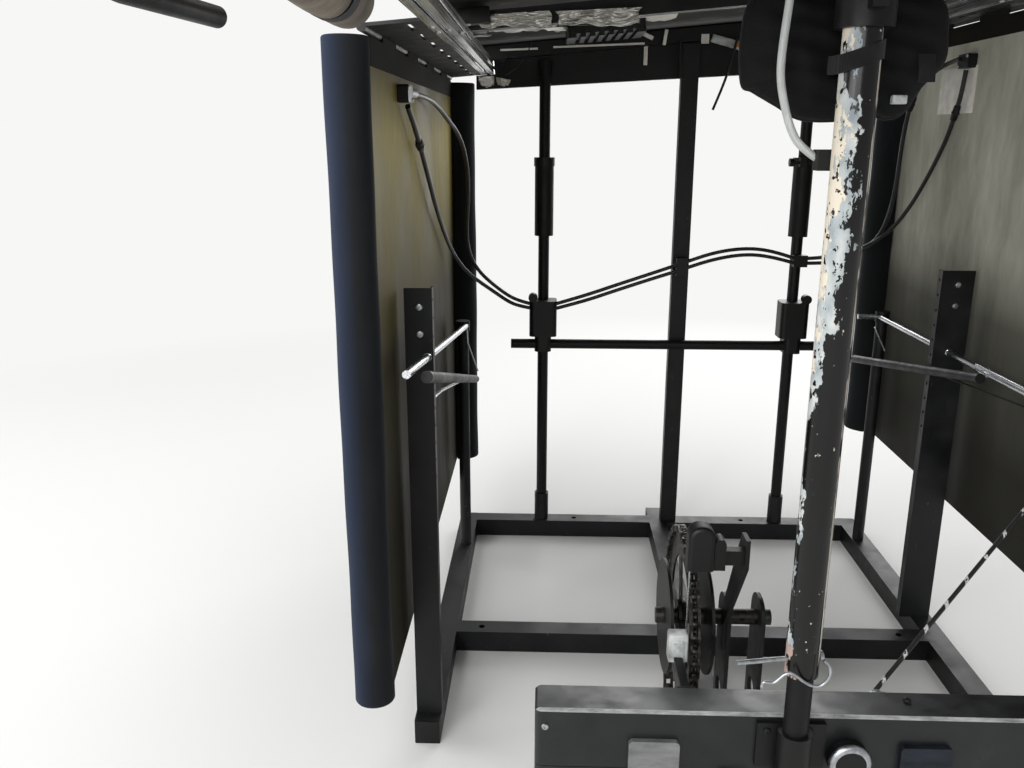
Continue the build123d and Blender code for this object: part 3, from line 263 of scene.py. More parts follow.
def satin_black_tube():
    """Round steel tube, powder coated black: orange peel of 1 mm, dust of 25 mm, a low soft highlight."""
    material, add, own = new_material("satin_black_tube", "0f1011", 0.5, Specular_IOR_Level=0.25)
    peel = add("TexNoise", {"Vector": own, "Scale": 900.0, "Detail": 1.0})[0]
    dust = add("TexNoise", {"Vector": own, "Scale": 40.0, "Detail": 6.0, "Roughness": 0.65})[0]
    black = add("ValToRGB", {0: dust}, ((0.4, "0a0a0b"), (0.65, "131415"), (0.8, "1e1f20")))[0]
    gloss = add("ValToRGB", {0: dust}, ((0.35, 0.42), (0.75, 0.66)))[0]
    relief = add("Bump", {"Height": peel, "Distance": 0.00005, "Strength": 0.4})[0]
    return finished(material, Base_Color=black, Roughness=gloss, Normal=relief)


def zinc_plate():
    """Zinc plated steel: pale, slightly blue, with soft cloudy patches of 6 mm."""
    material, add, own = new_material("zinc_plate", "b4b7bb", 0.4, Metallic=1.0)
    cloud = add("TexNoise", {"Vector": own, "Scale": 180.0, "Detail": 3.0})[0]
    pale = add("ValToRGB", {0: cloud}, ((0.3, "9a9ea3"), (0.7, "c6c8ca")))[0]
    gloss = add("ValToRGB", {0: cloud}, ((0.3, 0.3), (0.7, 0.5)))[0]
    return finished(material, Base_Color=pale, Roughness=gloss)


def latch_steel():
    """Pressed steel latches: dull zinc left, dark blue-grey lacquer right, in clouds of 25 by 8 mm."""
    material, add, own = new_material("latch_steel", "6f7173", 0.5, Metallic=0.6)
    x = add("SeparateXYZ", {0: own})[0]
    drawn = add("Mapping", {"Vector": own, "Scale": (1, 1, 3)})[0]
    cloud = add("TexNoise", {"Vector": drawn, "Scale": 40.0, "Detail": 4.0, "Roughness": 0.6})[0]
    dull = add("ValToRGB", {0: cloud}, ((0.3, "6b6c6c"), (0.7, "8f9090")))[0]
    lacquer = add("ValToRGB", {0: cloud}, ((0.3, "171b21"), (0.7, "2c323b")))[0]
    left = add("Math", {0: x, 1: BETWEEN_LATCHES_X}, operation="LESS_THAN")[0]
    colour = add("Mix", {0: left, 6: lacquer, 7: dull}, data_type="RGBA")[2]
    gloss = add("ValToRGB", {0: cloud}, ((0.3, 0.38), (0.7, 0.6)))[0]
    return finished(material, Base_Color=colour, Roughness=gloss)


def dark_lacquer():
    """Hinge leaf in dark olive lacquer, matte with road dust in 25 mm patches drawn out along it."""
    material, add, own = new_material("dark_lacquer", "1a1812", 0.65, Specular_IOR_Level=0.15)
    drawn = add("Mapping", {"Vector": own, "Scale": (1, 0.3, 1)})[0]
    dust = add("TexNoise", {"Vector": drawn, "Scale": 40.0, "Detail": 6.0, "Roughness": 0.6})[0]
    olive = add("ValToRGB", {0: dust}, ((0.35, "11100b"), (0.6, "1c1a13"), (0.8, "2c291f")))[0]
    gloss = add("ValToRGB", {0: dust}, ((0.35, 0.85), (0.75, 1.0)))[0]
    return finished(material, Base_Color=olive, Roughness=gloss)


def mill_aluminium():
    """Extruded aluminium as it leaves the mill: bright, with grey dust in patches of 38 mm.

    Die lines run along it. Real ones are some 0.2 mm apart, and these are drawn at 1.1 mm so that they show.
    """
    material, add, own = new_material("mill_aluminium", "d2d4d6", 0.35, Metallic=1.0)
    along = add("Mapping", {"Vector": own, "Scale": (1, 0.004, 1)})[0]
    lines = add("TexNoise", {"Vector": along, "Scale": 900.0, "Detail": 2.0})[0]
    drawn = add("Mapping", {"Vector": own, "Scale": (1, 0.3, 1)})[0]
    dust = add("TexNoise", {"Vector": drawn, "Scale": 26.0, "Detail": 6.0, "Roughness": 0.6})[0]
    pale = add("ValToRGB", {0: dust}, ((0.35, "a9aaaa"), (0.55, "e4e5e4"), (0.8, "f4f4f2")))[0]
    gloss = add("ValToRGB", {0: lines}, ((0.3, 0.2), (0.7, 0.38)))[0]
    relief = add("Bump", {"Height": lines, "Distance": 0.00003, "Strength": 0.6})[0]
    return finished(material, Base_Color=pale, Roughness=gloss, Normal=relief)


def black_anodised():
    """Black anodised aluminium section: matte, with grey dust of 29 mm and lines drawn at 1.4 mm along it."""
    material, add, own = new_material("black_anodised", "1a1b1c", 0.5, Specular_IOR_Level=0.3)
    dust = add("TexNoise", {"Vector": own, "Scale": 35.0, "Detail": 6.0, "Roughness": 0.6})[0]
    along = add("Mapping", {"Vector": own, "Scale": (1, 0.01, 1)})[0]
    lines = add("TexNoise", {"Vector": along, "Scale": 700.0, "Detail": 2.0})[0]
    dark = add("ValToRGB", {0: dust}, ((0.35, "0c0d0d"), (0.6, "161717"), (0.8, "292928")))[0]
    gloss = add("ValToRGB", {0: dust}, ((0.3, 0.4), (0.75, 0.66)))[0]
    relief = add("Bump", {"Height": lines, "Distance": 0.00003, "Strength": 0.5})[0]
    return finished(material, Base_Color=dark, Roughness=gloss, Normal=relief)


def solar_cells(add, place):
    """Dark silicon cells with pale gaps, on the first two numbers of place: bricks in straight rows."""
    tiles = {
        "Vector": place, "Scale": 1.0, "Mortar Size": 0.0012, "Mortar Smooth": 0.1, "Brick Width": CELL,
        "Row Height": CELL, "Color1": "0c1422", "Color2": "101a2b", "Mortar": "b9bab4",
    }
    return add("TexBrick", tiles, offset=0.0, squash=1.0)[0]


def solar_laminate():
    """Laminate of dark silicon cells of 127 mm with silver busbars, over a back sheet painted dark as shade.

    Height over the roof's own plane tells the glossy top from the back sheet, whose painted shade has paler
    blotches of painted reflection 70 mm across. The busbars repeat four times in a cell.
    """
    material, add, own = new_material("solar_laminate", "0d1420", 0.12)
    level = add("VectorRotate", {"Vector": own, "Angle": ROOF_TILT}, rotation_type="Y_AXIS")[0]
    right, _, up = add("SeparateXYZ", {0: level})
    centred = add("Mapping", {"Vector": level, "Location": (2.5 * CELL, CELLS_TO_REAR, 0.0)})[0]
    cells = solar_cells(add, centred)
    bars = add("Math", {0: right, 1: 2.5 * CELL}, operation="ADD")[0]
    bars = add("Math", {0: bars, 1: CELL / 4}, operation="PINGPONG")[0]
    bar = add("Math", {0: bars, 1: BUSBAR_HALF}, operation="LESS_THAN")[0]
    top = add("Mix", {0: bar, 6: cells, 7: "8d9196"}, data_type="RGBA")[2]
    # Painted shade: the back sheet is coloured dark for the shade under the roof, with paler blotches of
    # painted reflection
    shade_blotches = add("TexNoise", {"Vector": own, "Scale": 14.0, "Detail": 7.0, "Roughness": 0.6})[0]
    back = add("ValToRGB", {0: shade_blotches}, ((0.35, "14130f"), (0.58, "26241d"), (0.72, "5d594a")))[0]
    above = add("Math", {0: up, 1: ROOF_HEIGHT + LAMINATE_MIDDLE}, operation="GREATER_THAN")[0]
    colour = add("Mix", {0: above, 6: back, 7: top}, data_type="RGBA")[2]
    gloss = add("ValToRGB", {0: above}, ((0.0, 0.8), (1.0, 0.14)))[0]
    return finished(material, Base_Color=colour, Roughness=gloss)


def sheet_back():
    """Back of a wall's thin solar sheet, seen from inside: dusty, brown olive left and grey olive right.

    Both walls are the same sheet: the left's brown olive is a painted reflection of green surroundings, and
    the right's paler grey is painted light. The left darkens at its top with painted shade under the roof,
    and both darken towards the bottom with painted shade. Soft smears of 110 by 320 mm and streaks of
    17 mm lie on them, and the sheet itself waves a little every 170 mm.
    The outer side shows dark cells of 127 mm, which end where the sheet's outermost millimetre begins.
    """
    material, add, own = new_material("sheet_back", "6b675a", 0.5, Specular_IOR_Level=0.08)
    x, y, z = add("SeparateXYZ", {0: own})
    drawn = add("Mapping", {"Vector": own, "Scale": (1, 0.9, 0.35)})[0]
    smear = add("TexNoise", {"Vector": drawn, "Scale": 9.0, "Detail": 6.0, "Roughness": 0.6})[0]
    upright = add("Mapping", {"Vector": own, "Scale": (1, 1, 0.25)})[0]
    fine = add("TexNoise", {"Vector": upright, "Scale": 60.0, "Detail": 4.0, "Roughness": 0.6})[0]
    smear = add("Math", {0: smear, 1: 0.88}, operation="MULTIPLY")[0]
    fine = add("Math", {0: fine, 1: 0.12}, operation="MULTIPLY")[0]
    both = add("Math", {0: smear, 1: fine}, operation="ADD")[0]
    # Painted reflection and light: both walls are the same sheet. The left's brown olive stands for the green
    # surroundings that its gloss reflects, the right's paler grey for the stronger light on that wall
    left = add("ValToRGB", {0: both}, ((0.36, "7b6e2e"), (0.5, "998b46"), (0.64, "bbac62")))[0]
    right = add("ValToRGB", {0: both}, ((0.36, "918f82"), (0.5, "b3b2a4"), (0.64, "d4d3c4")))[0]
    # Painted shade: the left wall darkens at its top, under the roof
    high = add("ValToRGB", {0: z}, ((0.70, 0.0), (0.765, 0.78)))[0]
    left = add("Mix", {0: high, 6: left, 7: "221f17"}, data_type="RGBA")[2]
    on_right = add("Math", {0: x, 1: 0.0}, operation="GREATER_THAN")[0]
    # Painted shade: both walls darken towards the bottom, the right one over a shorter height
    low = add("ValToRGB", {0: z}, ((0.3, 0.97), (0.48, 0.88), (0.58, 0.5), (0.68, 0.03)))[0]
    right_low_shade = add("ValToRGB", {0: z}, ((0.3, 0.96), (0.47, 0.8), (0.56, 0.15), (0.64, 0.0)))[0]
    sheet = add("Mix", {0: on_right, 6: left, 7: right}, data_type="RGBA")[2]
    change = add("Math", {0: right_low_shade, 1: low}, operation="SUBTRACT")[0]
    change = add("Math", {0: on_right, 1: change}, operation="MULTIPLY")[0]
    low = add("Math", {0: low, 1: change}, operation="ADD")[0]
    inside = add("Mix", {0: low, 6: sheet, 7: "1d1c19"}, data_type="RGBA")[2]
    cells = solar_cells(add, add("CombineXYZ", {0: y, 1: z})[0])
    away = add("Math", {0: x}, operation="ABSOLUTE")[0]
    outside = add("Math", {0: away, 1: HINGE_X + SHEET_FRONT}, operation="GREATER_THAN")[0]
    colour = add("Mix", {0: outside, 6: inside, 7: cells}, data_type="RGBA")[2]
    gloss = add("ValToRGB", {0: both}, ((0.35, 0.48), (0.62, 0.72)))[0]
    smoother = add("Math", {0: outside, 1: -0.38}, operation="MULTIPLY")[0]
    gloss = add("Math", {0: gloss, 1: smoother}, operation="ADD")[0]
    tall = add("Mapping", {"Vector": own, "Scale": (1, 1, 0.3)})[0]
    wave = add("TexNoise", {"Vector": tall, "Scale": 6.0, "Detail": 2.0})[0]
    relief = add("Bump", {"Height": wave, "Distance": 0.003, "Strength": 0.35})[0]
    return finished(material, Base_Color=colour, Roughness=gloss, Normal=relief)


def pipe_foam():
    """Closed-cell pipe foam, blue black and matte; the front foams' outer side is a bluer grey, painted
    light.

    Its pores of about half a millimetre are drawn at 1.4 mm so that they show.
    """
    material, add, own = new_material(
        "pipe_foam", "15181c", 0.85, Sheen_Weight=0.1, Specular_IOR_Level=0.2, Sheen_Tint="8a97a6"
    )
    x, y, _ = add("SeparateXYZ", {0: own})
    pores = add("TexVoronoi", {"Vector": own, "Scale": 700.0})[0]
    tall = add("Mapping", {"Vector": own, "Scale": (1, 1, 0.3)})[0]
    rub = add("TexNoise", {"Vector": tall, "Scale": 20.0, "Detail": 5.0, "Roughness": 0.6})[0]
    # Painted light: the front foams' outboard side is mixed to a bluer grey, as their lit side
    front = add("Math", {0: y, 1: FRONT_FOAM_TO_Y}, operation="LESS_THAN")[0]
    away = add("Math", {0: x}, operation="ABSOLUTE")[0]
    outer = add("ValToRGB", {0: away}, ((0.370, 0.0), (0.388, 0.5)))[0]
    share = add("Math", {0: front, 1: outer}, operation="MULTIPLY")[0]
    dark = add("ValToRGB", {0: rub}, ((0.35, "0d0f10"), (0.6, "141618"), (0.78, "1e2124")))[0]
    colour = add("Mix", {0: share, 6: dark, 7: "25314a"}, data_type="RGBA")[2]
    relief = add("Bump", {"Height": pores, "Distance": 0.0003, "Strength": 0.5})[0]
    return finished(material, Base_Color=colour, Normal=relief)


def beige_foam():
    """Beige foam roll, grey with road dust: matte, with soft dents of 36 mm."""
    material, add, own = new_material("beige_foam", "857a6a", 0.85)
    dust = add("TexNoise", {"Vector": own, "Scale": 28.0, "Detail": 6.0, "Roughness": 0.6})[0]
    beige = add("ValToRGB", {0: dust}, ((0.3, "4b443c"), (0.55, "6d6458"), (0.8, "8d8373")))[0]
    relief = add("Bump", {"Height": dust, "Distance": 0.0015, "Strength": 0.5})[0]
    return finished(material, Base_Color=beige, Normal=relief)


def dull_tube():
    """Thin aluminium tube inside the foam, dull and cloudy with age, in patches of 6 mm."""
    material, add, own = new_material("dull_tube", "8c8e90", 0.5, Metallic=0.9)
    cloud = add("TexNoise", {"Vector": own, "Scale": 160.0, "Detail": 4.0})[0]
    grey = add("ValToRGB", {0: cloud}, ((0.3, "7d7f81"), (0.7, "9a9c9e")))[0]
    gloss = add("ValToRGB", {0: cloud}, ((0.3, 0.42), (0.7, 0.6)))[0]
    return finished(material, Base_Color=grey, Roughness=gloss)


def moulded_black():
    """Injection-moulded black plastic: a broad soft highlight on spark-eroded grain.

    The grain of 0.1 mm is drawn at 0.7 mm so that it shows.
    """
    material, add, own = new_material("moulded_black", "0f0f0f", 0.45, Specular_IOR_Level=0.3)
    grain = add("TexNoise", {"Vector": own, "Scale": 1400.0, "Detail": 1.0})[0]
    relief = add("Bump", {"Height": grain, "Distance": 0.00004, "Strength": 0.5})[0]
    return finished(material, Normal=relief)


def bright_rod():
    """Drawn steel rod, bright and smooth, with faint lines along it, drawn at 0.7 mm."""
    material, add, own = new_material("bright_rod", "c9cbce", 0.2, Metallic=1.0)
    along = add("Mapping", {"Vector": own, "Scale": (1, 0.02, 1)})[0]
    lines = add("TexNoise", {"Vector": along, "Scale": 1500.0, "Detail": 1.0})[0]
    return finished(material, Roughness=add("ValToRGB", {0: lines}, ((0.3, 0.14), (0.7, 0.34)))[0])


def case_plastic():
    """Thick ABS case, black satin: grain drawn at 0.9 mm, dust of 38 mm, a painted highlight on its upper
    front edge.
    """
    material, add, own = new_material("case_plastic", "17181a", 0.42, Specular_IOR_Level=0.4)
    _, y, z = add("SeparateXYZ", {0: own})
    # Painted highlight: the upper front edge is mixed to pale grey, broken up by noise
    top = add("Math", {0: z, 1: CASE_HIGHLIGHT_Z}, operation="GREATER_THAN")[0]
    front = add("Math", {0: y, 1: CASE_HIGHLIGHT_Y}, operation="LESS_THAN")[0]
    edge = add("Math", {0: top, 1: front}, operation="MULTIPLY")[0]
    wide = add("Mapping", {"Vector": own, "Scale": (0.25, 1, 1)})[0]
    scuff = add("TexNoise", {"Vector": wide, "Scale": 150.0, "Detail": 6.0, "Roughness": 0.7})[0]
    rubbed = add("ValToRGB", {0: scuff}, ((0.3, 0.25), (0.6, 1.0)))[0]
    worn = add("Math", {0: edge, 1: rubbed}, operation="MULTIPLY")[0]
    dust = add("TexNoise", {"Vector": own, "Scale": 26.0, "Detail": 7.0, "Roughness": 0.65})[0]
    dark = add("ValToRGB", {0: dust}, ((0.35, "101112"), (0.6, "1a1c1d"), (0.8, "303232")))[0]
    colour = add("Mix", {0: worn, 6: dark, 7: "a5a6a6"}, data_type="RGBA")[2]
    gloss = add("ValToRGB", {0: dust}, ((0.35, 0.3), (0.75, 0.6)))[0]
    grain = add("TexNoise", {"Vector": own, "Scale": 1100.0, "Detail": 1.0})[0]
    relief = add("Bump", {"Height": grain, "Distance": 0.00005, "Strength": 0.5})[0]
    return finished(material, Base_Color=colour, Roughness=gloss, Normal=relief)


def oiled_steel():
    """Hardened chain steel under old oil: dark brown grey, with bright rubbed places of 7 mm."""
    material, add, own = new_material("oiled_steel", "3a3836", 0.42, Metallic=0.8)
    grease = add("TexNoise", {"Vector": own, "Scale": 140.0, "Detail": 5.0, "Roughness": 0.65})[0]
    brown = add("ValToRGB", {0: grease}, ((0.35, "1c1b1a"), (0.6, "43403d"), (0.8, "6d6a66")))[0]
    gloss = add("ValToRGB", {0: grease}, ((0.35, 0.32), (0.7, 0.6)))[0]
    return finished(material, Base_Color=brown, Roughness=gloss)


def woven_black():
    """Woven nylon, black: matte with a faint sheen, its thread 0.8 mm, drawn at 1.6 mm so that it shows."""
    material, add, own = new_material(
        "woven_black", "0a0a0b", 0.8, Sheen_Weight=0.08, Specular_IOR_Level=0.2, Sheen_Tint="55585e"
    )
    crossed = add("Mapping", {"Vector": own, "Rotation": (0, math.radians(90), 0)})[0]
    warp = add("TexWave", {"Vector": own, "Scale": 200.0, "Distortion": 0.6})[1]
    weft = add("TexWave", {"Vector": crossed, "Scale": 200.0, "Distortion": 0.6})[1]
    weave = add("Math", {0: warp, 1: weft}, operation="MULTIPLY")[0]
    return finished(material, Normal=add("Bump", {"Height": weave, "Distance": 0.0003, "Strength": 0.5})[0])


def cable_rubber():
    """Rubber cable sheath, black and matte, with a little dust in specks of 8 mm."""
    material, add, own = new_material("cable_rubber", "101011", 0.48)
    dust = add("TexNoise", {"Vector": own, "Scale": 120.0, "Detail": 3.0})[0]
    return finished(material, Base_Color=add("ValToRGB", {0: dust}, ((0.3, "0c0c0d"), (0.8, "1f1f20")))[0])


def milky_hose():
    """Silicone drinking hose: milky light grey, a little see-through, softly glossy, with 11 mm haze."""
    material, add, own = new_material(
        "milky_hose", "c3c6c4", 0.3, IOR=1.43, Transmission_Weight=0.25, Subsurface_Weight=0.2,
        Subsurface_Radius=(0.004, 0.004, 0.004),
    )
    haze = add("TexNoise", {"Vector": own, "Scale": 90.0, "Detail": 3.0})[0]
    return finished(material, Base_Color=add("ValToRGB", {0: haze}, ((0.3, "bcbfbd"), (0.7, "cacdcb")))[0])


def blank_label():
    """Coated paper label, blank: warm white, slightly dirty in patches of 14 mm."""
    material, add, own = new_material("blank_label", "dcd8cf", 0.5)
    dirt = add("TexNoise", {"Vector": own, "Scale": 70.0, "Detail": 4.0})[0]
    return finished(material, Base_Color=add("ValToRGB", {0: dirt}, ((0.3, "e2ddd2"), (0.7, "fbf8f0")))[0])


def crumpled_foil():
    """Thin reflective insulation film, whitish: dents of 22 mm between the creases of its shape."""
    material, add, own = new_material("crumpled_foil", "cfcdc6", 0.3, Metallic=0.6)
    creases = add("TexVoronoi", {"Vector": own, "Scale": 45.0})[0]
    return finished(material, Normal=add("Bump", {"Height": creases, "Distance": 0.003, "Strength": 0.8})[0])


def flecked_cord():
    """Braided black cord whose reflective tracer threads come up every 33 mm as flecks of 2 mm specks."""
    material, add, own = new_material("flecked_cord", "101011", 0.6)
    place = add("SeparateXYZ", {0: own})[0]
    place = add("Math", {0: place, 1: FLECK_STEP}, operation="DIVIDE")[0]
    place = add("Math", {0: place}, operation="FRACT")[0]
    spot = add("Math", {0: place, 1: FLECK_SHARE}, operation="LESS_THAN")[0]
    thread = add("TexNoise", {"Vector": own, "Scale": 420.0, "Detail": 1.0})[0]
    thread = add("ValToRGB", {0: thread}, ((0.40, 0.0), (0.44, 1.0)))[0]
    share = add("Math", {0: spot, 1: thread}, operation="MULTIPLY")[0]
    colour = add("Mix", {0: share, 6: "101011", 7: "c9cac6"}, data_type="RGBA")[2]
    return finished(material, Base_Color=colour)


def strap_webbing():
    """Polyester strap, black with ribs 1 mm apart, rubbed a little grey in patches of 17 mm."""
    material, add, own = new_material(
        "strap_webbing", "0e0e0f", 0.75, Sheen_Weight=0.08, Specular_IOR_Level=0.2
    )
    ribs = add("TexWave", {"Vector": own, "Scale": 320.0, "Distortion": 0.4})[1]
    fade = add("TexNoise", {"Vector": own, "Scale": 60.0, "Detail": 5.0, "Roughness": 0.6})[0]
    black = add("ValToRGB", {0: fade}, ((0.35, "0a0a0b"), (0.75, "1d1d1e")))[0]
    relief = add("Bump", {"Height": ribs, "Distance": 0.0003, "Strength": 0.5})[0]
    return finished(material, Base_Color=black, Normal=relief)


def pale_nylon():
    """Cast nylon, greyish white, with finger marks of 11 mm."""
    material, add, own = new_material("pale_nylon", "c6c9c8", 0.5)
    marks = add("TexNoise", {"Vector": own, "Scale": 90.0, "Detail": 5.0, "Roughness": 0.6})[0]
    pale = add("ValToRGB", {0: marks}, ((0.35, "8b8e8d"), (0.55, "c0c4c3"), (0.8, "dcdedc")))[0]
    gloss = add("ValToRGB", {0: marks}, ((0.3, 0.4), (0.7, 0.62)))[0]
    return finished(material, Base_Color=pale, Roughness=gloss)


def amber_lens():
    """Small moulded lens, amber and clear, with prisms 0.6 mm apart across it."""
    material, add, own = new_material("amber_lens", "c98a2b", 0.2, Coat_Weight=0.4)
    prisms = add("TexWave", {"Vector": own, "Scale": 500.0})[1]
    return finished(material, Normal=add("Bump", {"Height": prisms, "Distance": 0.0002, "Strength": 0.5})[0])


def pale_floor():
    """Matte studio floor that fades into the backdrop from 0.8 to 2.5 m off, so that no horizon shows."""
    material, add, own = new_material("pale_floor", "e4e4e2", 0.9, Specular_IOR_Level=0.1)
    x, y, _ = add("SeparateXYZ", {0: own})
    beside = add("Math", {0: x, 1: 2.0}, operation="POWER")[0]
    behind = add("Math", {0: y, 1: CABIN_MIDDLE_Y}, operation="SUBTRACT")[0]
    behind = add("Math", {0: behind, 1: 2.0}, operation="POWER")[0]
    away = add("Math", {0: beside, 1: behind}, operation="ADD")[0]
    away = add("Math", {0: away}, operation="SQRT")[0]
    away = add("Math", {0: away, 1: FLOOR_SPAN}, operation="DIVIDE")[0]
    share = add("ValToRGB", {0: away}, ((0.2, 0.0), (0.62, 1.0)))[0]
    glow = add("Emission", {"Color": BACKDROP, "Strength": 1.0})[0]
    surface = material.node_tree.nodes["Principled BSDF"].outputs[0]
    blend = add("MixShader", {0: share, 1: surface, 2: glow})[0]
    set_inputs(material.node_tree, material.node_tree.nodes["Material Output"], {0: blend})
    return material


# Geometry


def put_mesh(name, points, faces, material, smooth=True):
    """Makes a piece from an array of points and lists of corners."""
    mesh = bpy.data.meshes.new(name)
    mesh.from_pydata(np.asarray(points).reshape(-1, 3).tolist(), [], faces)
    mesh.validate()
    mesh.update()
    mesh.shade_smooth() if smooth else mesh.shade_flat()
    piece = bpy.data.objects.new(name, mesh)
    bpy.context.collection.objects.link(piece)
    mesh.materials.append(material)
    return piece


def grid_faces(rows, columns, wrap_rows=False, wrap_columns=False):
    """Quads between neighbours of a grid whose points run row by row; a wrap joins the last to the first."""
    r = np.arange(rows if wrap_rows else rows - 1)[:, None]
    c = np.arange(columns if wrap_columns else columns - 1)[None, :]
    r2, c2 = (r + 1) % rows, (c + 1) % columns
    corners = [r * columns + c, r * columns + c2, r2 * columns + c2, r2 * columns + c]
    return np.stack(np.broadcast_arrays(*corners), -1).reshape(-1, 4).tolist()


def frames_along(path):
    """Tangent, side and up vectors at each point of a path; the side is level unless the path is upright."""
    path = np.asarray(path, float)
    tangent = np.gradient(path, axis=0)
    tangent /= np.linalg.norm(tangent, axis=1, keepdims=True)
    side = np.cross(tangent, (0.0, 0.0, 1.0))
    weak = np.linalg.norm(side, axis=1) < 0.05
    side[weak] = np.cross(tangent[weak], (1.0, 0.0, 0.0))
    for index in range(1, len(side)):
        side[index] -= tangent[index] * np.dot(side[index], tangent[index])
        if np.dot(side[index], side[index - 1]) < 0:
            side[index] = -side[index]
    side /= np.linalg.norm(side, axis=1, keepdims=True)
    return tangent, side, np.cross(side, tangent)


def tube_along(path, radius, turns=12):
    """Points of a round tube: each path point plus radius times (cos a, sin a) in its cross plane."""
    path = np.asarray(path, float)
    _, side, up = frames_along(path)
    angle = np.linspace(0, 2 * np.pi, turns, endpoint=False)
    radius = np.broadcast_to(radius, len(path))[:, None, None]
    ring = side[:, None] * np.cos(angle)[None, :, None] + up[:, None] * np.sin(angle)[None, :, None]
    return path[:, None] + ring * radius


def tube_part(path, radius, turns=12):
    """A closed round tube along a path, with a fan of quads drawn in to a point at each end."""
    points = tube_along(path, radius, turns)
    first = np.broadcast_to(np.asarray(path[0], float), (1, turns, 3))
    last = np.broadcast_to(np.asarray(path[-1], float), (1, turns, 3))
    points = np.concatenate([first, points, last])
    return points.reshape(-1, 3), grid_faces(len(points), turns, wrap_columns=True)


def turned_part(profile, centre, axis, turns=18):
    """A closed turned body: profile is (distance along the axis, radius) from one end to the other."""
    axis = np.asarray(axis, float) / np.linalg.norm(axis)
    side = np.cross(axis, (1.0, 0.0, 0.0) if abs(axis[2]) > 0.9 else (0.0, 0.0, 1.0))
    side /= np.linalg.norm(side)
    angle = np.linspace(0, 2 * np.pi, turns, endpoint=False)[:, None]
    around = side * np.cos(angle) + np.cross(axis, side) * np.sin(angle)
    profile = np.asarray(profile, float)
    points = np.asarray(centre, float) + profile[:, 0, None, None] * axis + profile[:, 1, None, None] * around
    return points.reshape(-1, 3), grid_faces(len(profile), turns, wrap_columns=True)


def head_part(centre, axis, radius, height=None, turns=16):
    """A screw's pan head with a shallow socket in it, standing on centre and facing along axis."""
    height = height or radius * 0.7
    shape = ((0, 0), (0, 1), (0.5, 1), (0.85, 0.85), (1, 0.5), (1, 0.4), (0.55, 0.34), (0.5, 0))
    return turned_part([(a * height, r * radius) for a, r in shape], centre, axis, turns)


def box_part(centre, size, bevel=0.0006, turn=(0, 0, 0)):
    """A block with rounded edges, turned about its middle."""
    solid = bmesh.new()
    bmesh.ops.create_cube(solid, size=1.0)
    bmesh.ops.scale(solid, vec=size, verts=solid.verts)
    bmesh.ops.bevel(solid, geom=list(solid.edges), offset=bevel, segments=2, profile=0.5, affect="EDGES")
    place = Matrix.Translation(centre) @ Euler(turn).to_matrix().to_4x4()
    bmesh.ops.transform(solid, matrix=place, verts=solid.verts)
    solid.verts.index_update()
    points = np.array([vertex.co for vertex in solid.verts], float)
    faces = [[vertex.index for vertex in face.verts] for face in solid.faces]
    solid.free()
    return points, faces


def slab_part(corners, push):
    """A flat outline and the same outline pushed along a vector, joined round the rim."""
    corners = np.asarray(corners, float)
    count = len(corners)
    points = np.concatenate([corners, corners + np.asarray(push, float)])
    caps = [list(range(count))[::-1], list(range(count, 2 * count))]
    return points, grid_faces(2, count, wrap_columns=True) + caps


def shell_part(points):
    """Closed skin over rows of points: half of each row is the outer side, the rest runs back inside it."""
    rows, columns = points.shape[:2]
    faces = grid_faces(rows, columns, wrap_columns=True)
    for base in (0, (rows - 1) * columns):
        last = base + columns - 1
        faces += [[base + i, last - i, last - i - 1, base + i + 1] for i in range(columns // 2 - 1)]
    return points.reshape(-1, 3), faces


def ribbon_part(path, across, thick):
    """A flat strap along a path. Across is its whole width as one vector, or as one for each point."""
    path = np.asarray(path, float)
    across = np.broadcast_to(np.asarray(across, float), path.shape)
    normal = np.cross(np.gradient(path, axis=0), across)
    normal *= thick / np.linalg.norm(normal, axis=1, keepdims=True)
    share = np.array([(-0.5, -0.5), (0.5, -0.5), (0.5, 0.5), (-0.5, 0.5)])
    points = path[:, None] + across[:, None] * share[None, :, :1] + normal[:, None] * share[None, :, 1:]
    last = 4 * len(path) - 4
    faces = grid_faces(len(path), 4, wrap_columns=True)
    return points.reshape(-1, 3), faces + [[3, 2, 1, 0], [last, last + 1, last + 2, last + 3]]


def strip_part(start, end, width, thick=0.001, face=(0, -1, 0)):
    """A straight flat strip from start to end whose broad side looks along face."""
    across = np.cross(face, np.subtract(end, start))
    across = across / np.linalg.norm(across) * width
    return ribbon_part([start, end], across, thick)


def film_part(corners, crumple, seed, cells=22, thick=0.0006):
    """A crumpled film between four corners, with wavy edges.

    It leaves the flat by the mean of a few absolute sines of u and v, whose zeros are the creases.
    """
    corners = np.asarray(corners, float)
    chance = np.random.default_rng(seed)
    u, v = np.meshgrid(np.linspace(0, 1, cells), np.linspace(0, 1, cells))
    waves = [np.abs(np.sin(a * u + b * v + c)) for a, b, c in chance.normal(0, 11, (7, 3))]
    rise = np.mean(waves, axis=0)[..., None] * crumple
    turn = chance.uniform(0, 6, 3)
    v = v * (1 + 0.10 * np.sin(7 * u + turn[0]) + 0.06 * np.sin(19 * u + turn[1]))
    u = u + 0.05 * np.sin(5 * v + turn[2]) * (u - 0.5)
    u, v = u[..., None], v[..., None]
    flat = (corners[0] * (1 - u) + corners[1] * u) * (1 - v) + (corners[3] * (1 - u) + corners[2] * u) * v
    normal = np.cross(corners[1] - corners[0], corners[3] - corners[0])
    facing = normal[2] if abs(normal[2]) > 1e-9 else normal[1]
    normal *= -np.sign(facing) / np.linalg.norm(normal)
    lower = flat + normal * rise
    return shell_part(np.concatenate([lower, (lower - normal * thick)[:, ::-1]], 1))


def joined(parts):
    """Several (points, faces) as one."""
    points, faces, count = [], [], 0
    for some, corners in parts:
        points.append(np.asarray(some, float).reshape(-1, 3))
        faces += [[corner + count for corner in face] for face in corners]
        count += len(points[-1])
    return np.concatenate(points), faces


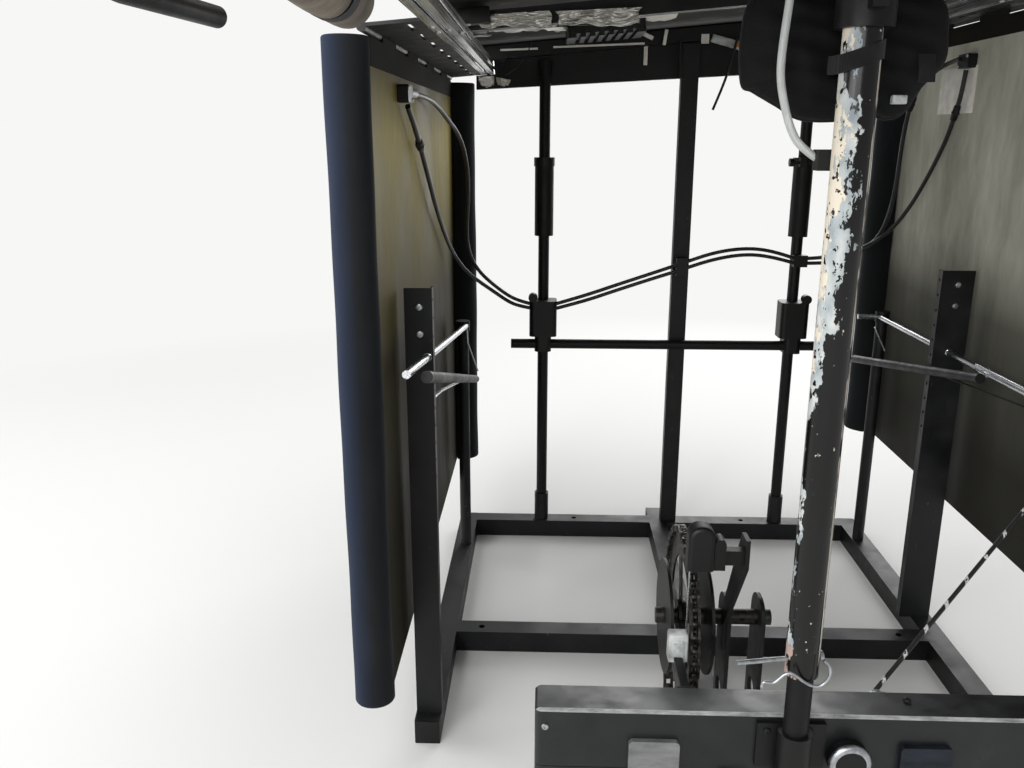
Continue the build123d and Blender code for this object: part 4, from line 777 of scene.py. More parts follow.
def put_parts(name, parts, finish, body="root", sharp=40):
    """One piece from several closed parts, smooth where its faces meet at less than the sharp angle.

    It takes the finish's material. A piece without a body is left unattached.
    """
    points, faces = joined(parts)
    piece = put_mesh(name, points, faces, finishes[finish])
    close_up(piece)
    piece.data.set_sharp_from_angle(angle=math.radians(sharp))
    if body:
        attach(piece, body)
    return piece


def close_up(piece):
    """Merges doubles at poles and seams, and turns every face outwards."""
    mesh = bmesh.new()
    mesh.from_mesh(piece.data)
    bmesh.ops.remove_doubles(mesh, verts=mesh.verts, dist=1e-6)
    bmesh.ops.recalc_face_normals(mesh, faces=mesh.faces)
    mesh.to_mesh(piece.data)
    mesh.free()


def roof_point(u, y, w):
    """A place on the tilted roof, from its own right, rear and up, in metres."""
    x = u * math.cos(ROOF_TILT) - w * math.sin(ROOF_TILT)
    return x, y, ROOF_HEIGHT + u * math.sin(ROOF_TILT) + w * math.cos(ROOF_TILT)


def curve_of(name, route, radius):
    """A smooth curve whose control points are the route's own."""
    data = bpy.data.curves.new(name, "CURVE")
    data.dimensions = "3D"
    spline = data.splines.new("NURBS")
    spline.points.add(len(route) - 1)
    for point, place in zip(spline.points, route):
        point.co = (*place, 1.0)
    spline.order_u = 3
    spline.use_endpoint_u = True
    data.resolution_u = 12
    data.bevel_depth = radius
    data.bevel_resolution = 5
    data.use_fill_caps = True
    piece = bpy.data.objects.new(name, data)
    bpy.context.collection.objects.link(piece)
    return piece


def spline_points(route):
    """The points that the route's smooth curve passes through, read from a curve with no bevel."""
    bare = curve_of("route", route, 0.0)
    bpy.context.view_layer.update()
    mesh = bpy.data.meshes.new_from_object(bare)
    points = np.array([v.co for v in mesh.vertices], float)
    bpy.data.objects.remove(bare)
    bpy.data.meshes.remove(mesh)
    return points


def distance_along(points):
    """How far each point of a path is from its start, in metres."""
    return np.concatenate([[0.0], np.cumsum(np.linalg.norm(np.diff(points, axis=0), axis=1))])


def put_still_cord(name, route, diameter, finish="cable_rubber", node=None):
    """A cord that bends nowhere, because everything that holds it stays still."""
    piece = curve_of(name, route, diameter / 2)
    piece.data.materials.append(finishes[finish])
    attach(piece, "root")
    if node:
        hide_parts(node)
    length = float(distance_along(spline_points(route))[-1])


def put_connector(name, points, low, high, radius):
    """The plug and socket on a lead, between two distances along it: a sleeve with a collar in the middle."""
    run = distance_along(points)
    steps = np.array([0, 0.04, 0.1, 0.42, 0.46, 0.54, 0.58, 0.9, 0.96, 1.0])
    girth = np.array([1.05, 1.35, 1.5, 1.55, 1.8, 1.8, 1.55, 1.5, 1.35, 1.05]) * radius
    at = low + (high - low) * steps
    path = np.stack([np.interp(at, run, points[:, axis]) for axis in range(3)], 1)
    return put_parts(name + "_plug", [tube_part(path, girth, 16)], "black_plastic", None)


def put_wall_cord(name, route, node, plug_at=None):
    """A lead from a wall's box to the frame, with its plug if one is given, both baked where they stand."""
    points = spline_points(route)
    piece = put_parts(name, [tube_part(points, LEAD_D / 2, 14)], "cable_rubber", None)
    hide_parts(node)
    plugs = [put_connector(name, points, *plug_at, LEAD_D / 2)] if plug_at else []
    for bent in [piece] + plugs:
        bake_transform(bent)


def add_camera():
    """A camera at the photograph's place: pitched down and turned a little left of the vehicle's axis."""
    data = bpy.data.cameras.new("view")
    data.sensor_width = SENSOR
    data.lens = FOCAL_PX * SENSOR / IMAGE_W
    data.clip_start = 0.02
    camera = bpy.data.objects.new("view", data)
    bpy.context.collection.objects.link(camera)
    camera.location = CAMERA_AT
    camera.rotation_euler = Euler((math.radians(90 - PITCH_DOWN), 0, math.radians(YAW_LEFT)))
    bpy.context.scene.camera = camera


def add_lamp(name, place, aim, size, power):
    """A square soft box at place, facing aim."""
    data = bpy.data.lights.new(name, "AREA")
    data.size = size
    data.energy = power
    lamp = bpy.data.objects.new(name, data)
    bpy.context.collection.objects.link(lamp)
    lamp.location = place
    x, y, z = np.subtract(aim, place)
    lamp.rotation_euler = (math.atan2(math.hypot(x, y), -z), 0, math.atan2(y, x) - math.pi / 2)


def add_studio():
    """Soft boxes round the cabin, a white world and a pale floor."""
    add_lamp("front_box", (-0.9, -2.2, 1.5), (0, 0.5, 0.5), 1.6, 34)
    add_lamp("rear_box", (0.8, 3.0, 1.3), (0, 0.5, 0.5), 2.0, 46)
    add_lamp("left_box", (-2.6, 0.8, 1.2), (0, 0.4, 0.4), 1.6, 30)
    add_lamp("top_box", (0.4, 0.2, 3.0), (0, 0.4, 0.5), 2.0, 30)
    add_lamp("inner_box", (-0.75, -0.55, 0.95), (0.36, 0.65, 0.65), 0.6, 7)
    world = bpy.data.worlds.new("studio")
    bpy.context.scene.world = world
    world.use_nodes = True
    tree = world.node_tree
    light = tree.nodes["Background"]
    set_inputs(tree, light, {0: (1, 1, 1, 1), 1: 0.42})
    seen = add_node(tree, "Background", {0: BACKDROP, 1: 1.0})[0]
    to_camera = add_node(tree, "LightPath")["Is Camera Ray"]
    blend = add_node(tree, "MixShader", {0: to_camera, 1: light.outputs[0], 2: seen})[0]
    set_inputs(tree, tree.nodes["World Output"], {0: blend})
    points = np.array([(-1, -1, 0), (1, -1, 0), (1, 1, 0), (-1, 1, 0)]) * FLOOR_HALF
    floor = put_mesh("floor", points, [[0, 1, 2, 3]], pale_floor(), smooth=False)


FINISH_OF = {
    "painted_steel": enamelled_steel,
    "chipped_mast": chipped_enamel,
    "black_tube": satin_black_tube,
    "zinc_steel": zinc_plate,
    "bare_aluminium": mill_aluminium,
    "black_aluminium": black_anodised,
    "solar_laminate": solar_laminate,
    "wall_sheet": sheet_back,
    "pipe_foam": pipe_foam,
    "pale_foam": beige_foam,
    "stile_tube": dull_tube,
    "black_plastic": moulded_black,
    "bright_rod": bright_rod,
    "case_shell": case_plastic,
    "chain_steel": oiled_steel,
    "pouch_fabric": woven_black,
    "cable_rubber": cable_rubber,
    "hose_plastic": milky_hose,
}
EXTRA_FINISHES = (
    latch_steel, dark_lacquer, blank_label, crumpled_foil, flecked_cord, strap_webbing, pale_nylon,
    amber_lens,
)
finishes = {slot: make() for slot, make in FINISH_OF.items()}
finishes.update({make.__name__: make() for make in EXTRA_FINISHES})
# Nodes whose look differs from the rest of their slot
NODE_FINISHES = {
    "case_latches": "latch_steel", "wall_leaf_left": "dark_lacquer", "wall_leaf_right": "dark_lacquer",
}


def dress_nodes():
    """Gives each CAD node the finish of its material slot."""
    for subpart in frame["record"]["subparts"]:
        node = frame["nodes"][subpart["node"]]
        node.data.materials.clear()
        finish = NODE_FINISHES.get(subpart["node"], subpart["material_slot"])
        node.data.materials.append(finishes[finish])


def add_cords():
    """The leads and the hose. A plug's place on a wall's lead is given as two distances along it."""
    put_wall_cord("left_lead_a", LEAD_LEFT_A, "lead_left_a",
                  plug_at=(0.078, 0.098))
    put_wall_cord("left_lead_b", LEAD_LEFT_B, "lead_left_b")
    put_wall_cord("right_lead_a", LEAD_RIGHT_A, "lead_right_a",
                  plug_at=(0.090, 0.112))
    put_wall_cord("right_lead_b", LEAD_RIGHT_B, "lead_right_b",
                  plug_at=(0.046, 0.068))
    put_still_cord("rear_lead_a", LEAD_REAR_A, LEAD_D, node="lead_rear_a")
    put_still_cord("rear_lead_b", LEAD_REAR_B, LEAD_D, node="lead_rear_b")
    put_still_cord("drinking_hose", MAST_HOSE, HOSE_D, "hose_plastic", "mast_hose")


# For each foam: outboard of the hinge, y, radius, the way its slit faces (outboard, rear) and half its angle
FOAM_ENDS = ((0.012, 0.165, 0.020, (-0.012, 0.016), 14.0), (-0.011, 0.895, 0.028, (0.011, -0.0257), 9.0))


def add_foams():
    """Pipe foam pushed over the tube at each end of a wall: a thick ring with a slit that takes the sheet.

    Its radius swells by two slow sine waves of height and angle, and its ends are drawn in a little.
    """
    up = np.concatenate([[0, 0.0006, 0.002], np.linspace(0.012, WALL_HEIGHT - 0.016, 60)])
    up = np.concatenate([up, [WALL_HEIGHT - 0.004, WALL_HEIGHT - 0.0026, WALL_HEIGHT - 0.002]])
    inset = np.zeros(len(up))
    inset[[0, 1, -2, -1]] = (0.002, 0.0008, 0.0008, 0.002)
    for side, s in (("left", -1), ("right", 1)):
        z = (WALL_TOP[side] - WALL_HEIGHT + up)[:, None]
        parts = []
        for outboard, y, radius, (across, rearward), half in FOAM_ENDS:
            opening = math.atan2(rearward, s * across)
            gap = math.radians(half)
            angle = np.linspace(opening + gap, opening + 2 * np.pi - gap, 48)[None, :]
            lump = 1 + 0.014 * np.sin(17 * z + 2 * angle) + 0.009 * np.sin(51 * z - 3 * angle)
            outer = radius * lump - inset[:, None]
            inner = np.broadcast_to(FOAM_BORE_R + 0.4 * inset[:, None], outer.shape)
            reach = np.concatenate([outer, inner[:, ::-1]], 1)
            turn = np.concatenate([angle, angle[:, ::-1]], 1)
            x = s * (HINGE_X + outboard) + reach * np.cos(turn)
            points = np.stack([x, y + reach * np.sin(turn), np.broadcast_to(z, reach.shape)], -1)
            parts.append(shell_part(points))
        piece = put_parts("wall_foam_" + side, parts, "pipe_foam", "wall_" + side, sharp=50)
        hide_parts("wall_foams_" + side)


def add_rolls():
    """Foam rolls under the roof's front corners, each with a half-round rear end and two straps round it.

    Their radius is dented by two sine waves of length and angle.
    """
    bend = np.linspace(0, np.pi / 2, 10)
    tip = ROLL_REAR - ROLL_R + ROLL_R * np.sin(bend)
    edge = [ROLL_FRONT, ROLL_FRONT, ROLL_FRONT + 0.0015]
    along = np.concatenate([edge, np.linspace(ROLL_FRONT + 0.01, 0.025, 48), tip])
    girth = np.concatenate([[0, ROLL_R - 0.0015, ROLL_R], np.full(48, ROLL_R), ROLL_R * np.cos(bend)])
    angle = np.linspace(0, 2 * np.pi, 44, endpoint=False)[None, :]
    y = along[:, None]
    dent = 1 + 0.022 * np.sin(31 * y + 2 * angle) + 0.014 * np.sin(83 * y - 3 * angle)
    parts, straps = [], []
    for s in (-1, 1):
        x, _, z = roof_point(s * ROLL_X, 0, 0)
        reach = girth[:, None] * dent
        across = x + reach * np.cos(angle)
        points = np.stack([across, np.broadcast_to(y, reach.shape), z + reach * np.sin(angle)], -1)
        parts.append((points.reshape(-1, 3), grid_faces(len(along), 44, wrap_columns=True)))
        radii = (0, STRAP_INNER_R, STRAP_OUTER_R)
        band = [(-STRAP_HALF, r) for r in radii] + [(STRAP_HALF, r) for r in radii[::-1]]
        straps += [turned_part(band, (x, middle, z), (0, 1, 0), 36) for middle in (-0.17, -0.02)]
    piece = put_parts("foam_rolls", parts, "pale_foam", sharp=60)
    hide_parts("roof_rolls")
    put_parts("roll_straps", straps, "strap_webbing", sharp=30)


# The pouch's outline as the rider's feet see it: x and z in millimetres
POUCH_EDGE = (
    (-72, 735), (-64, 729.5), (-46, 719.6), (-30, 710.9), (-8, 709.6), (8, 712.5), (19, 714), (30, 710.9),
    (41.5, 715), (52, 732), (65.5, 748), (66, 765), (62, 785), (45, 797), (0, 800), (-45, 799), (-68, 790),
    (-74, 765),
)


def pouch_rim(count):
    """The outline as count points (x, z) of a closed Catmull-Rom curve through its corners, in metres."""
    edge = np.array(POUCH_EDGE) / 1000 + (0.004, 0.0)
    place = np.linspace(0, len(edge), count, endpoint=False)
    whole = place.astype(int)
    f = (place - whole)[:, None]
    a, b, c, d = (edge[(whole + step) % len(edge)] for step in (-1, 0, 1, 2))
    return 0.5 * (2 * b + (c - a) * f + (2 * a - 5 * b + 4 * c - d) * f**2 + (3 * b - a - 3 * c + d) * f**3)


def add_pouch():
    """A slack fabric pouch strapped behind the mast head: two lobes, pinched where the strap runs, and folds.

    Each row of points is the outline drawn in by cos(v) to the 0.6, at a depth of sin(v) times half the
    pouch's thickness, with v from -90 degrees at the front's middle to 90 degrees at the back's.
    """
    rim = pouch_rim(110)
    centre = np.array((0.001, 0.756))
    v = np.linspace(-np.pi / 2, np.pi / 2, 61)[:, None]
    flat = centre + (rim - centre)[None] * (np.cos(v) ** 0.6)[..., None]
    x, z = flat[..., 0], flat[..., 1]
    pinch = 1 - 0.38 * np.exp(-((x / 0.014) ** 2))
    sag = 1 + 0.16 * np.clip((0.75 - z) / 0.04, -1, 1)
    folds = 0.0016 * np.sin(230 * x + 120 * z) * np.sin(70 * z - 60 * x + 1.0)
    folds = folds + 0.0010 * np.sin(410 * z + 90 * x)
    depth = np.sign(v) * np.abs(np.sin(v)) ** 0.8 * POUCH_HALF
    y = POUCH_Y + depth * pinch * sag + folds * np.sin(v) ** 2
    points = np.stack([x, np.clip(y, 0.0165, 0.065), z], -1)
    body = (points.reshape(-1, 3), grid_faces(len(v), len(rim), wrap_columns=True))
    piece = put_parts("soft_pouch", [body], "pouch_fabric", sharp=70)
    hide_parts("head_pouch")
    loop = np.concatenate([rim[-1:], rim, rim[:1]])
    path = np.stack([loop[:, 0], np.full(len(loop), POUCH_Y), loop[:, 1]], 1)
    piping = tube_along(path, 0.0014, 8)[1:-1]
    tab = [(0.0505, 0.021, 0.752), (0.0505, 0.0185, 0.745), (0.051, 0.018, 0.734)]
    trim = [
        (piping.reshape(-1, 3), grid_faces(len(rim), 8, wrap_rows=True, wrap_columns=True)),
        ribbon_part(tab, (0.011, 0, 0), 0.0012),
    ]
    tip = [box_part((0.0345, 0.020, 0.7228), (0.010, 0.006, 0.006), 0.001)]
    put_parts("pouch_trim", trim, "strap_webbing", sharp=50)
    put_parts("pouch_tip", tip, "pale_nylon", sharp=50)


# The chain relay, in metres
LINK, CHAIN_LINKS = 0.0127, 60
RING_TEETH, SPROCKET_TEETH = 44, 20
RING_Z, SPROCKET_Z, RELAY_Y, RING_X = 0.222, 0.0511337, 0.205, -0.062
PLATE_END_R, PLATE_WAIST = 0.0041, 0.0027
PLATE_X, PLATE_THICK = 0.0044, 0.0008
# Turned pieces of the chain: distance along the pin and radius
PIN = ((-0.0056, 0), (-0.0056, 0.0013), (-0.0053, 0.0018), (0.0053, 0.0018), (0.0056, 0.0013), (0.0056, 0))
ROLLER = ((-0.0023, 0), (-0.0023, 0.0037), (-0.002, 0.0039), (0.002, 0.0039), (0.0023, 0.0037), (0.0023, 0))


def chain_pins():
    """Pin centres (y, z) along the two arcs and two straight runs of the chain, one for each link."""
    big, small = (LINK / (2 * math.sin(math.pi / teeth)) for teeth in (RING_TEETH, SPROCKET_TEETH))
    gap = RING_Z - SPROCKET_Z
    lean = math.asin((big - small) / gap)
    run = gap * math.cos(lean)
    arc_big = (math.pi + 2 * lean) / (2 * math.pi) * RING_TEETH * LINK
    arc_small = (math.pi - 2 * lean) / (2 * math.pi) * SPROCKET_TEETH * LINK
    total = arc_big + arc_small + 2 * run
    along = (np.arange(CHAIN_LINKS) / CHAIN_LINKS * total - arc_big / 2) % total
    down, under, up = along < run, along < run + arc_small, along < 2 * run + arc_small
    turn_small = -lean - (along - run) / (SPROCKET_TEETH * LINK) * 2 * math.pi
    turn_big = math.pi + lean - (along - 2 * run - arc_small) / (RING_TEETH * LINK) * 2 * math.pi
    turn = np.select([down, under, up], [-lean, turn_small, math.pi + lean], turn_big)
    share = np.select([down, under, up], [along / run, 1.0, 1 - (along - run - arc_small) / run], 0.0)
    radius = big + (small - big) * share
    centre = RING_Z + (SPROCKET_Z - RING_Z) * share
    return np.stack([RELAY_Y + radius * np.cos(turn), centre + radius * np.sin(turn)], 1)


def add_chain_links():
    """What the solid chain leaves out: an outer plate pair on every second link, all pins and rollers.

    A plate's outline is an arc round each of its two pins, with a narrower waist between them.
    """
    pins = chain_pins()
    ends = np.roll(pins, -1, axis=0)
    bend = np.radians(np.arange(-75, 76, 25))
    round_end = PLATE_END_R * np.stack([np.cos(bend), np.sin(bend)], 1)
    outline = np.concatenate(
        [round_end + (LINK, 0), [(LINK / 2, PLATE_WAIST)], -round_end, [(LINK / 2, -PLATE_WAIST)]]
    )
    parts = []
    for index, (pin, end) in enumerate(zip(pins, ends)):
        parts.append(turned_part(PIN, (RING_X, *pin), (1, 0, 0), 12))
        parts.append(turned_part(ROLLER, (RING_X, *pin), (1, 0, 0), 16))
        if index % 2:
            continue
        step = (end - pin) / np.linalg.norm(end - pin)
        flat = pin + outline[:, :1] * step + outline[:, 1:] * np.array((-step[1], step[0]))
        for s in (1, -1):
            corners = np.column_stack([np.full(len(flat), RING_X + s * PLATE_X), flat])
            parts.append(slab_part(corners, (s * PLATE_THICK, 0, 0)))
    put_parts("chain_links", parts, "chain_steel", sharp=35)


# The spring clip's wire in the plane just in front of the mast: x and z in millimetres
CLIP_WIRE = (
    (-34, 287.5), (-33.6, 291.9), (-29.2, 291.5), (-25.3, 290.7), (-21.8, 293.7), (-17.1, 299.1),
    (-12.8, 300.4), (-8, 297.6), (-2.6, 292.7), (5.4, 288.5), (11.8, 289.3), (16.3, 294.7), (17.7, 302),
    (15, 309.3), (11.5, 311.5),
)


def add_mast_pieces():
    """The spring clip of the mast's pin, and the strap that ties the pouch round the mast.

    The strap is a flat ring whose height grows with x, because the pouch pulls it askew, and two tails.
    """
    route = [(x / 1000, -0.0155, z / 1000) for x, z in CLIP_WIRE]
    wire = tube_part(spline_points(route), 0.00125, 10)
    put_parts("spring_clip", [wire], "zinc_steel")
    angle = np.linspace(0, 2 * np.pi, 49)[:-1]
    rings = []
    for reach, rise in ((0.0131, -0.006), (0.0143, -0.006), (0.0143, 0.006), (0.0131, 0.006)):
        x = reach * np.cos(angle)
        rings.append(np.stack([x, reach * np.sin(angle), 0.749 + 0.34 * x + rise], 1))
    band = (np.stack(rings, 1).reshape(-1, 3), grid_faces(48, 4, wrap_rows=True, wrap_columns=True))
    tails = [
        ribbon_part([(s * 0.0133, 0.004, 0.749 + s * 0.0045), (s * 0.0136, 0.012, 0.749 + s * 0.0045),
                     (s * 0.0138, 0.024, 0.749 + s * 0.004)], (0, 0, 0.012), 0.0013)
        for s in (-1, 1)
    ]
    put_parts("mast_strap", [band] + tails, "strap_webbing", sharp=40)


SLEEVE_LENGTH, SLEEVE_R = 0.046, 0.0046
SHEET_BACK = 0.003  # from the hinge axis in to a wall sheet's back, where its junction box stands
BOX_DEPTH = 0.012


def add_wall_pieces():
    """The blank label, the screws of the junction boxes, and the pale sleeve on a left lead."""
    label = box_part((0.3594, 0.696, 0.758), (0.0007, 0.112, 0.061), 0.0003)
    put_parts("wall_label", [label], "blank_label", "wall_right")
    along = spline_points(LEAD_LEFT_B)
    sleeve = [tube_part(along[distance_along(along) < SLEEVE_LENGTH], SLEEVE_R, 18)]
    put_parts("lead_sleeve", sleeve, "pale_nylon", "wall_left")
    for side, s, y, z in (("left", -1, 0.350, 0.741), ("right", 1, 0.661, 0.794)):
        x = s * (HINGE_X - SHEET_BACK - BOX_DEPTH)
        corners = ((y - 0.0125, z + 0.006), (y + 0.0125, z - 0.006))
        heads = [head_part((x, *corner), (-s, 0, 0), 0.0022) for corner in corners]
        put_parts("box_screws_" + side, heads, "zinc_steel", "wall_" + side)


LEFT_WIRE = ((-0.325, 0.313, 0.4235), (-0.330, 0.418, 0.400), (-0.330, 0.673, 0.343), (-0.331, 0.757, 0.3245))
# Turned pieces on the rods: distance along the axis and radius
ROD_NUT = ((0, 0), (0, 0.005), (0.001, 0.006), (0.017, 0.006), (0.018, 0.005), (0.018, 0))
CROSS_PIN = ((0, 0), (0, 0.0035), (0.0005, 0.004), (0.0295, 0.004), (0.030, 0.0035), (0.030, 0))
HOOK_X = 0.3305
# The cord's hook in its own plane: y and z
HOOK_WIRE = (
    (0.2440, 0.4290), (0.2405, 0.4298), (0.2385, 0.4255), (0.2400, 0.4190), (0.2450, 0.4120),
    (0.2480, 0.4060), (0.2470, 0.3990), (0.2425, 0.3965), (0.2400, 0.4010),
)
EYE_X, EYE_Y, EYE_Z, EYE_R = 0.087, 0.0645, 0.2285, 0.0045
CORD_ROUTE = ((0.087, 0.066, 0.232), (0.2088, 0.1555, 0.3139), (0.3305, 0.245, 0.397))
CORD_D = 0.004


def add_rod_pieces():
    """Thin wires and fittings along both walls, and the flecked cord that is stretched from the case."""
    bright = [
        tube_part([(-0.3289, 0.756, 0.406), (-0.3276, 0.756, 0.3817), (-0.3121, 0.756, 0.3358)], 0.0014, 10),
        tube_part([(0.3217, 0.800, 0.4033), (0.3417, 0.800, 0.3641)], 0.0014, 10),
        tube_part([(0.3225, 0.455, 0.4285), (0.3225, 0.200, 0.432)], 0.0022, 12),
        tube_part(LEFT_WIRE, 0.002, 12),
        turned_part(ROD_NUT, (0.3305, 0.437, 0.4224), (0, 1, -0.01)),
        box_part((0.3265, 0.448, 0.4262), (0.013, 0.012, 0.005), 0.0008),
        turned_part(CROSS_PIN, (0.295, 0.806, 0.419), (1, 0, 0)),
    ]
    put_parts("rod_wires", bright, "bright_rod")
    dark = [tube_part([(0.3037, 0.4907, 0.4035), (0.3285, 0.250, 0.4175)], 0.0013, 10)]
    put_parts("dark_wire", dark, "black_tube")
    bent = spline_points([(HOOK_X, y, z) for y, z in HOOK_WIRE])
    hook = put_parts("cord_hook", [tube_part(bent, 0.0011, 10)], "zinc_steel")
    turn = np.linspace(0, 2 * np.pi, 25)[:-1]
    ring = np.stack([EYE_X + EYE_R * np.cos(turn), EYE_Y + 0 * turn, EYE_Z + EYE_R * np.sin(turn)], 1)
    ring = tube_along(np.concatenate([ring[-1:], ring, ring[:1]]), 0.001, 8)[1:-1]
    eye = [
        (ring.reshape(-1, 3), grid_faces(24, 8, wrap_rows=True, wrap_columns=True)),
        box_part((EYE_X, 0.0612, EYE_Z), (0.014, 0.0024, 0.010), 0.0006),
    ]
    plate = put_parts("cord_eye", eye, "zinc_steel")
    cord = curve_of("flecked_cord", CORD_ROUTE, CORD_D / 2)
    cord.data.materials.append(finishes["flecked_cord"])
    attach(cord, "root")
    length = float(distance_along(spline_points(CORD_ROUTE))[-1])


def add_relay_pieces():
    """A pale chain rub block in front of the ring, its bar to the case, and the wire from the chain guide."""
    block = [box_part((-0.078, 0.120, 0.2388), (0.018, 0.014, 0.0285), 0.0018),
             box_part((-0.078, 0.1125, 0.2388), (0.010, 0.003, 0.018), 0.0010)]
    put_parts("rub_block", block, "pale_nylon")
    bar = [box_part((-0.078, 0.0865, 0.230), (0.008, 0.054, 0.004), 0.0008),
           box_part((-0.078, 0.0615, 0.228), (0.016, 0.003, 0.012), 0.0008),
           head_part((-0.0825, 0.0630, 0.228), (0, 1, 0), 0.0018)]
    put_parts("rub_block_bar", bar, "black_aluminium")
    wire = [tube_part([(-0.0705, 0.120, 0.3215), (-0.0705, 0.120, 0.250)], 0.0008, 8)]
    put_parts("guide_wire", wire, "bright_rod")


# Films that hang at a bar: its y, corners (x, z), how far they crumple, their seed and their rows
HUNG_FILMS = (
    (FILM_BAR_Y, ((-0.2958, 0.8290), (-0.205, 0.8335), (-0.198, 0.8170), (-0.282, 0.8165)), 0.009, 5, 30),
    (FILM_BAR_Y, ((-0.198, 0.8330), (-0.100, 0.8370), (-0.106, 0.8190), (-0.190, 0.8175)), 0.008, 6, 30),
    (VALANCE_Y, ((-0.316, 0.789), (-0.2912, 0.790), (-0.2912, 0.7735), (-0.312, 0.7745)), 0.003, 9, 12),
    (VALANCE_Y, ((-0.288, 0.7886), (-0.264, 0.784), (-0.2687, 0.7755), (-0.2848, 0.775)), 0.003, 17, 12),
)
# Cable loops under the roof, from its own right and rear in millimetres
LOOPS = ((-188, 485), (-187, 530), (-180, 572), (-160, 600), (-134, 604), (-111, 589), (-98, 561), (-94, 533))
# Loose cable ends at the rear bar
THIN_DROP = (
    (-0.2293, 0.859, 0.8385), (-0.241, 0.858, 0.815), (-0.2566, 0.858, 0.7974), (-0.2723, 0.858, 0.790),
)
REAR_DROP = ((0.086, 0.856, 0.843), (0.0755, 0.855, 0.7966), (0.065, 0.855, 0.765), (0.054, 0.855, 0.737))


def on_roof(corners, w):
    """Places on the tilted roof, from right and rear in millimetres, at the height w over its plane."""
    return [roof_point(u / 1000, y / 1000, w) for u, y in corners]


def add_roof_underside():
    """Films, strips, a black box and cables under the solar sheet, and what hangs at the rear bar."""
    under = 0.0436
    films = [
        film_part(on_roof(((-275, 562), (-190, 586), (-188, 742), (-281, 666)), under), 0.006, 3),
        film_part(on_roof(((-205, 676), (-92, 772), (-92, 800), (-205, 712)), under - 0.002), 0.005, 7),
    ]
    for y, corners, crumple, seed, rows in HUNG_FILMS:
        films.append(film_part([(x, y, z) for x, z in corners], crumple, seed, rows))
    put_parts("foil_films", films, "crumpled_foil", sharp=25)
    patches = [
        film_part(on_roof(((-188, 549), (-121, 598), (-113, 707), (-187, 650)), under), 0.002, 11, 10),
        film_part(on_roof(((-110, 568), (-39, 599), (-17, 758), (-98, 719)), under), 0.002, 13, 10),
        strip_part((-0.0640, 0.860, 0.8530), (-0.043, 0.860, 0.843), 0.006),
        strip_part((-0.0223, 0.860, 0.8560), (-0.0256, 0.860, 0.8335), 0.005),
        strip_part((-0.0505, 0.8885, 0.839), (-0.0505, 0.8885, 0.806), 0.006),
        strip_part((0.0385, 0.8675, 0.850), (0.0385, 0.8675, 0.836), 0.012),
        strip_part((-0.280, REAR_BAR_Y, 0.8275), (-0.221, REAR_BAR_Y, 0.8295), 0.003),
        strip_part((-0.197, REAR_BAR_Y, 0.8315), (-0.055, REAR_BAR_Y, 0.8365), 0.003),
    ]
    put_parts("cream_patches", patches, "blank_label", sharp=30)
    light_bar = [box_part((0.0735, 0.8665, 0.8375), (0.052, 0.006, 0.012), 0.0012, (0, math.radians(15), 0))]
    put_parts("light_bar", light_bar, "pale_nylon")
    lens = [head_part((0.088, 0.8635, 0.8336), (0, -1, 0), 0.0045, 0.003)]
    put_parts("light_lens", lens, "amber_lens")
    slant = (0, -ROOF_TILT, math.radians(6))
    box = [
        box_part(roof_point(-0.292, 0.503, 0.034), (0.036, 0.128, 0.018), 0.002, slant),
        strip_part((-0.300, 0.8635, 0.827), (-0.272, 0.8635, 0.811), 0.018, 0.002),
        strip_part((0.0, 0.8635, 0.8407), (0.003, 0.8635, 0.785), 0.004, 0.002),
    ]
    put_parts("roof_box", box, "black_plastic", sharp=30)
    askew = (0, -ROOF_TILT, math.radians(30))
    tabs = [
        box_part(roof_point(u, y, 0.0245), (0.018, 0.010, 0.002), 0.0004, askew)
        for u, y in ((-0.300, 0.440), (-0.285, 0.565))
    ]
    put_parts("roof_box_tabs", tabs, "pale_nylon")
    put_still_cord("roof_loops", on_roof(LOOPS, 0.031), 0.004)
    put_still_cord("thin_drop", THIN_DROP, 0.0016)
    put_still_cord("rear_drop", REAR_DROP, 0.004)


# Screw heads: x, y and z in millimetres, the way they face, and their radius
BRIGHT_HEADS = (
    (-201.3, 13.0, 226.5, (0, -1, 0), 3.0), (-338, 300, 524.6, (0, -1, 0), 4.0),
    (-337.7, 300, 495.5, (0, -1, 0), 4.0), (330, 550, 512, (0, -1, 0), 4.0), (330, 550, 484, (0, -1, 0), 4.0),
)
DARK_HEADS = (
    (-19.8, 9.0, 229.7, (0, -1, 0), 3.0), (14.3, 9.0, 230.7, (0, -1, 0), 3.0),
    (103.8, 41, 239.2, (0, 0, 1), 3.2),
)
# Along the solar frame, and under the rails from the roof's own right and rear, both in millimetres
FRAME_SCREWS_Y = (-210, 40, 300, 560, 820)
NUTS = ((-310, 222), (-309, 263), (-298, 255), (-289, 288), (-311, 867), (303, 222), (303, 470), (303, 867))
# The raised ring of the case's knob: distance along the axis and radius, round the ring's own section
KNOB_RING = (
    (0, 0.0125), (0.0002, 0.0152), (0.0014, 0.0168), (0.003, 0.0176), (0.0046, 0.0172), (0.0046, 0.0166),
    (0.003, 0.0168), (0.0018, 0.0160), (0.001, 0.0150), (0.001, 0.0125),
)
# Beam ends: x and y in millimetres, and the way they face along y
PLUGS = ((0, -60, -1), (0, 930, 1), (-340, 285, -1), (340, 285, -1), (-340, 895, 1), (340, 895, 1))


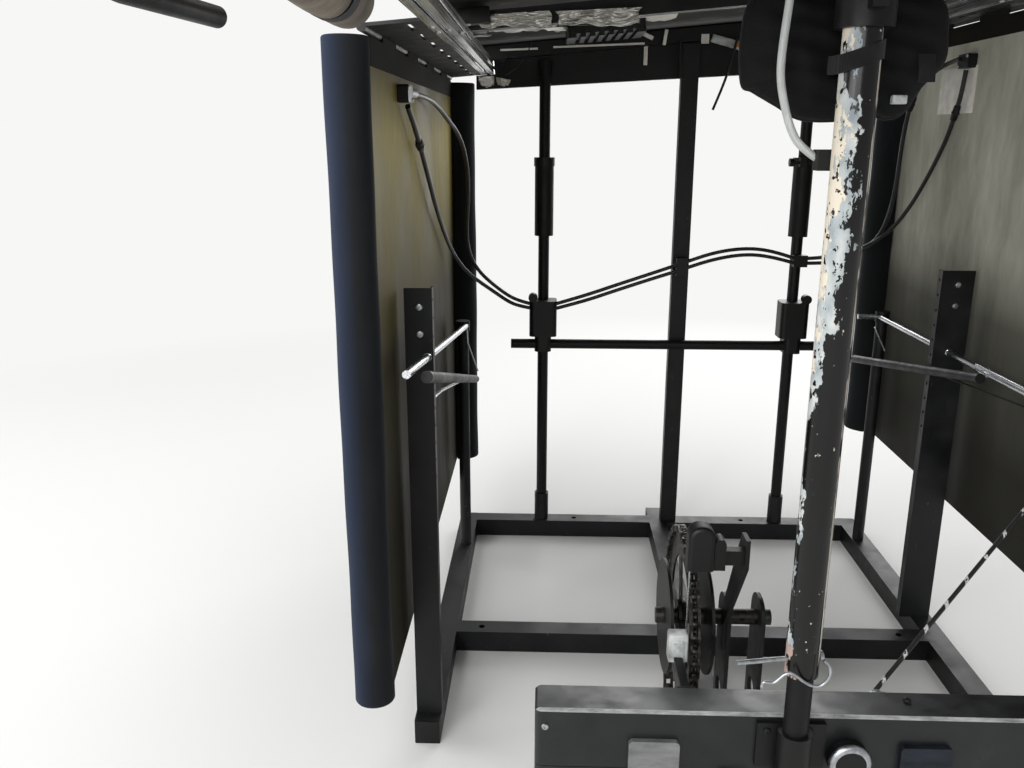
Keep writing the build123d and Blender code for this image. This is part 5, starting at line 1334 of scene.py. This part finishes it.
def add_fasteners():
    """Screw heads on case, uprights and solar frame, nuts in the rails' slots, and plugs in the beams."""
    tables = (("bright_screws", BRIGHT_HEADS, "zinc_steel"), ("dark_screws", DARK_HEADS, "painted_steel"))
    for name, rows, slot in tables:
        heads = [head_part((x / 1000, y / 1000, z / 1000), axis, r / 1000) for x, y, z, axis, r in rows]
        put_parts(name, heads, slot, sharp=30)
    outward = np.array((math.cos(ROOF_TILT), 0, math.sin(ROOF_TILT)))
    heads = []
    for s in (-1, 1):
        sides = [roof_point(s * 0.352, y / 1000, 0.043) for y in FRAME_SCREWS_Y]
        heads += [head_part(place, s * outward, 0.0035) for place in sides]
    for u in (-290, 0, 290):
        for y, way in ((-0.260, -1), (0.950, 1)):
            heads.append(head_part(roof_point(u / 1000, y, 0.043), (0, way, 0), 0.0035))
    points, _ = turned_part(KNOB_RING, (0.047, -0.0016, 0.206), (0, 1, 0), 40)
    ring = (points, grid_faces(len(KNOB_RING), 40, wrap_rows=True, wrap_columns=True))
    put_parts("knob_ring", [ring], "zinc_steel", sharp=50)
    put_parts("frame_screws", heads, "zinc_steel", sharp=30)
    down = (math.sin(ROOF_TILT), 0, -math.cos(ROOF_TILT))
    nuts = [head_part(roof_point(u / 1000, y / 1000, 0.0015), down, 0.0034, 0.003, 6) for u, y in NUTS]
    put_parts("slot_nuts", nuts, "zinc_steel", sharp=30)
    plugs = []
    for x, y, s in PLUGS:
        plugs.append(box_part((x / 1000, y / 1000 + s * 0.0011, 0.015), (0.0296, 0.0022, 0.0296), 0.0009))
        plugs.append(box_part((x / 1000, y / 1000 - s * 0.006, 0.015), (0.0255, 0.012, 0.0255), 0.0006))
    put_parts("beam_plugs", plugs, "black_plastic", sharp=30)


add_camera()
dress_nodes()
add_cords()
add_foams()
add_rolls()
add_pouch()
add_chain_links()
add_mast_pieces()
add_wall_pieces()
add_rod_pieces()
add_relay_pieces()
add_roof_underside()
add_fasteners()
add_studio()
bpy.context.scene.view_settings.view_transform = "Standard"
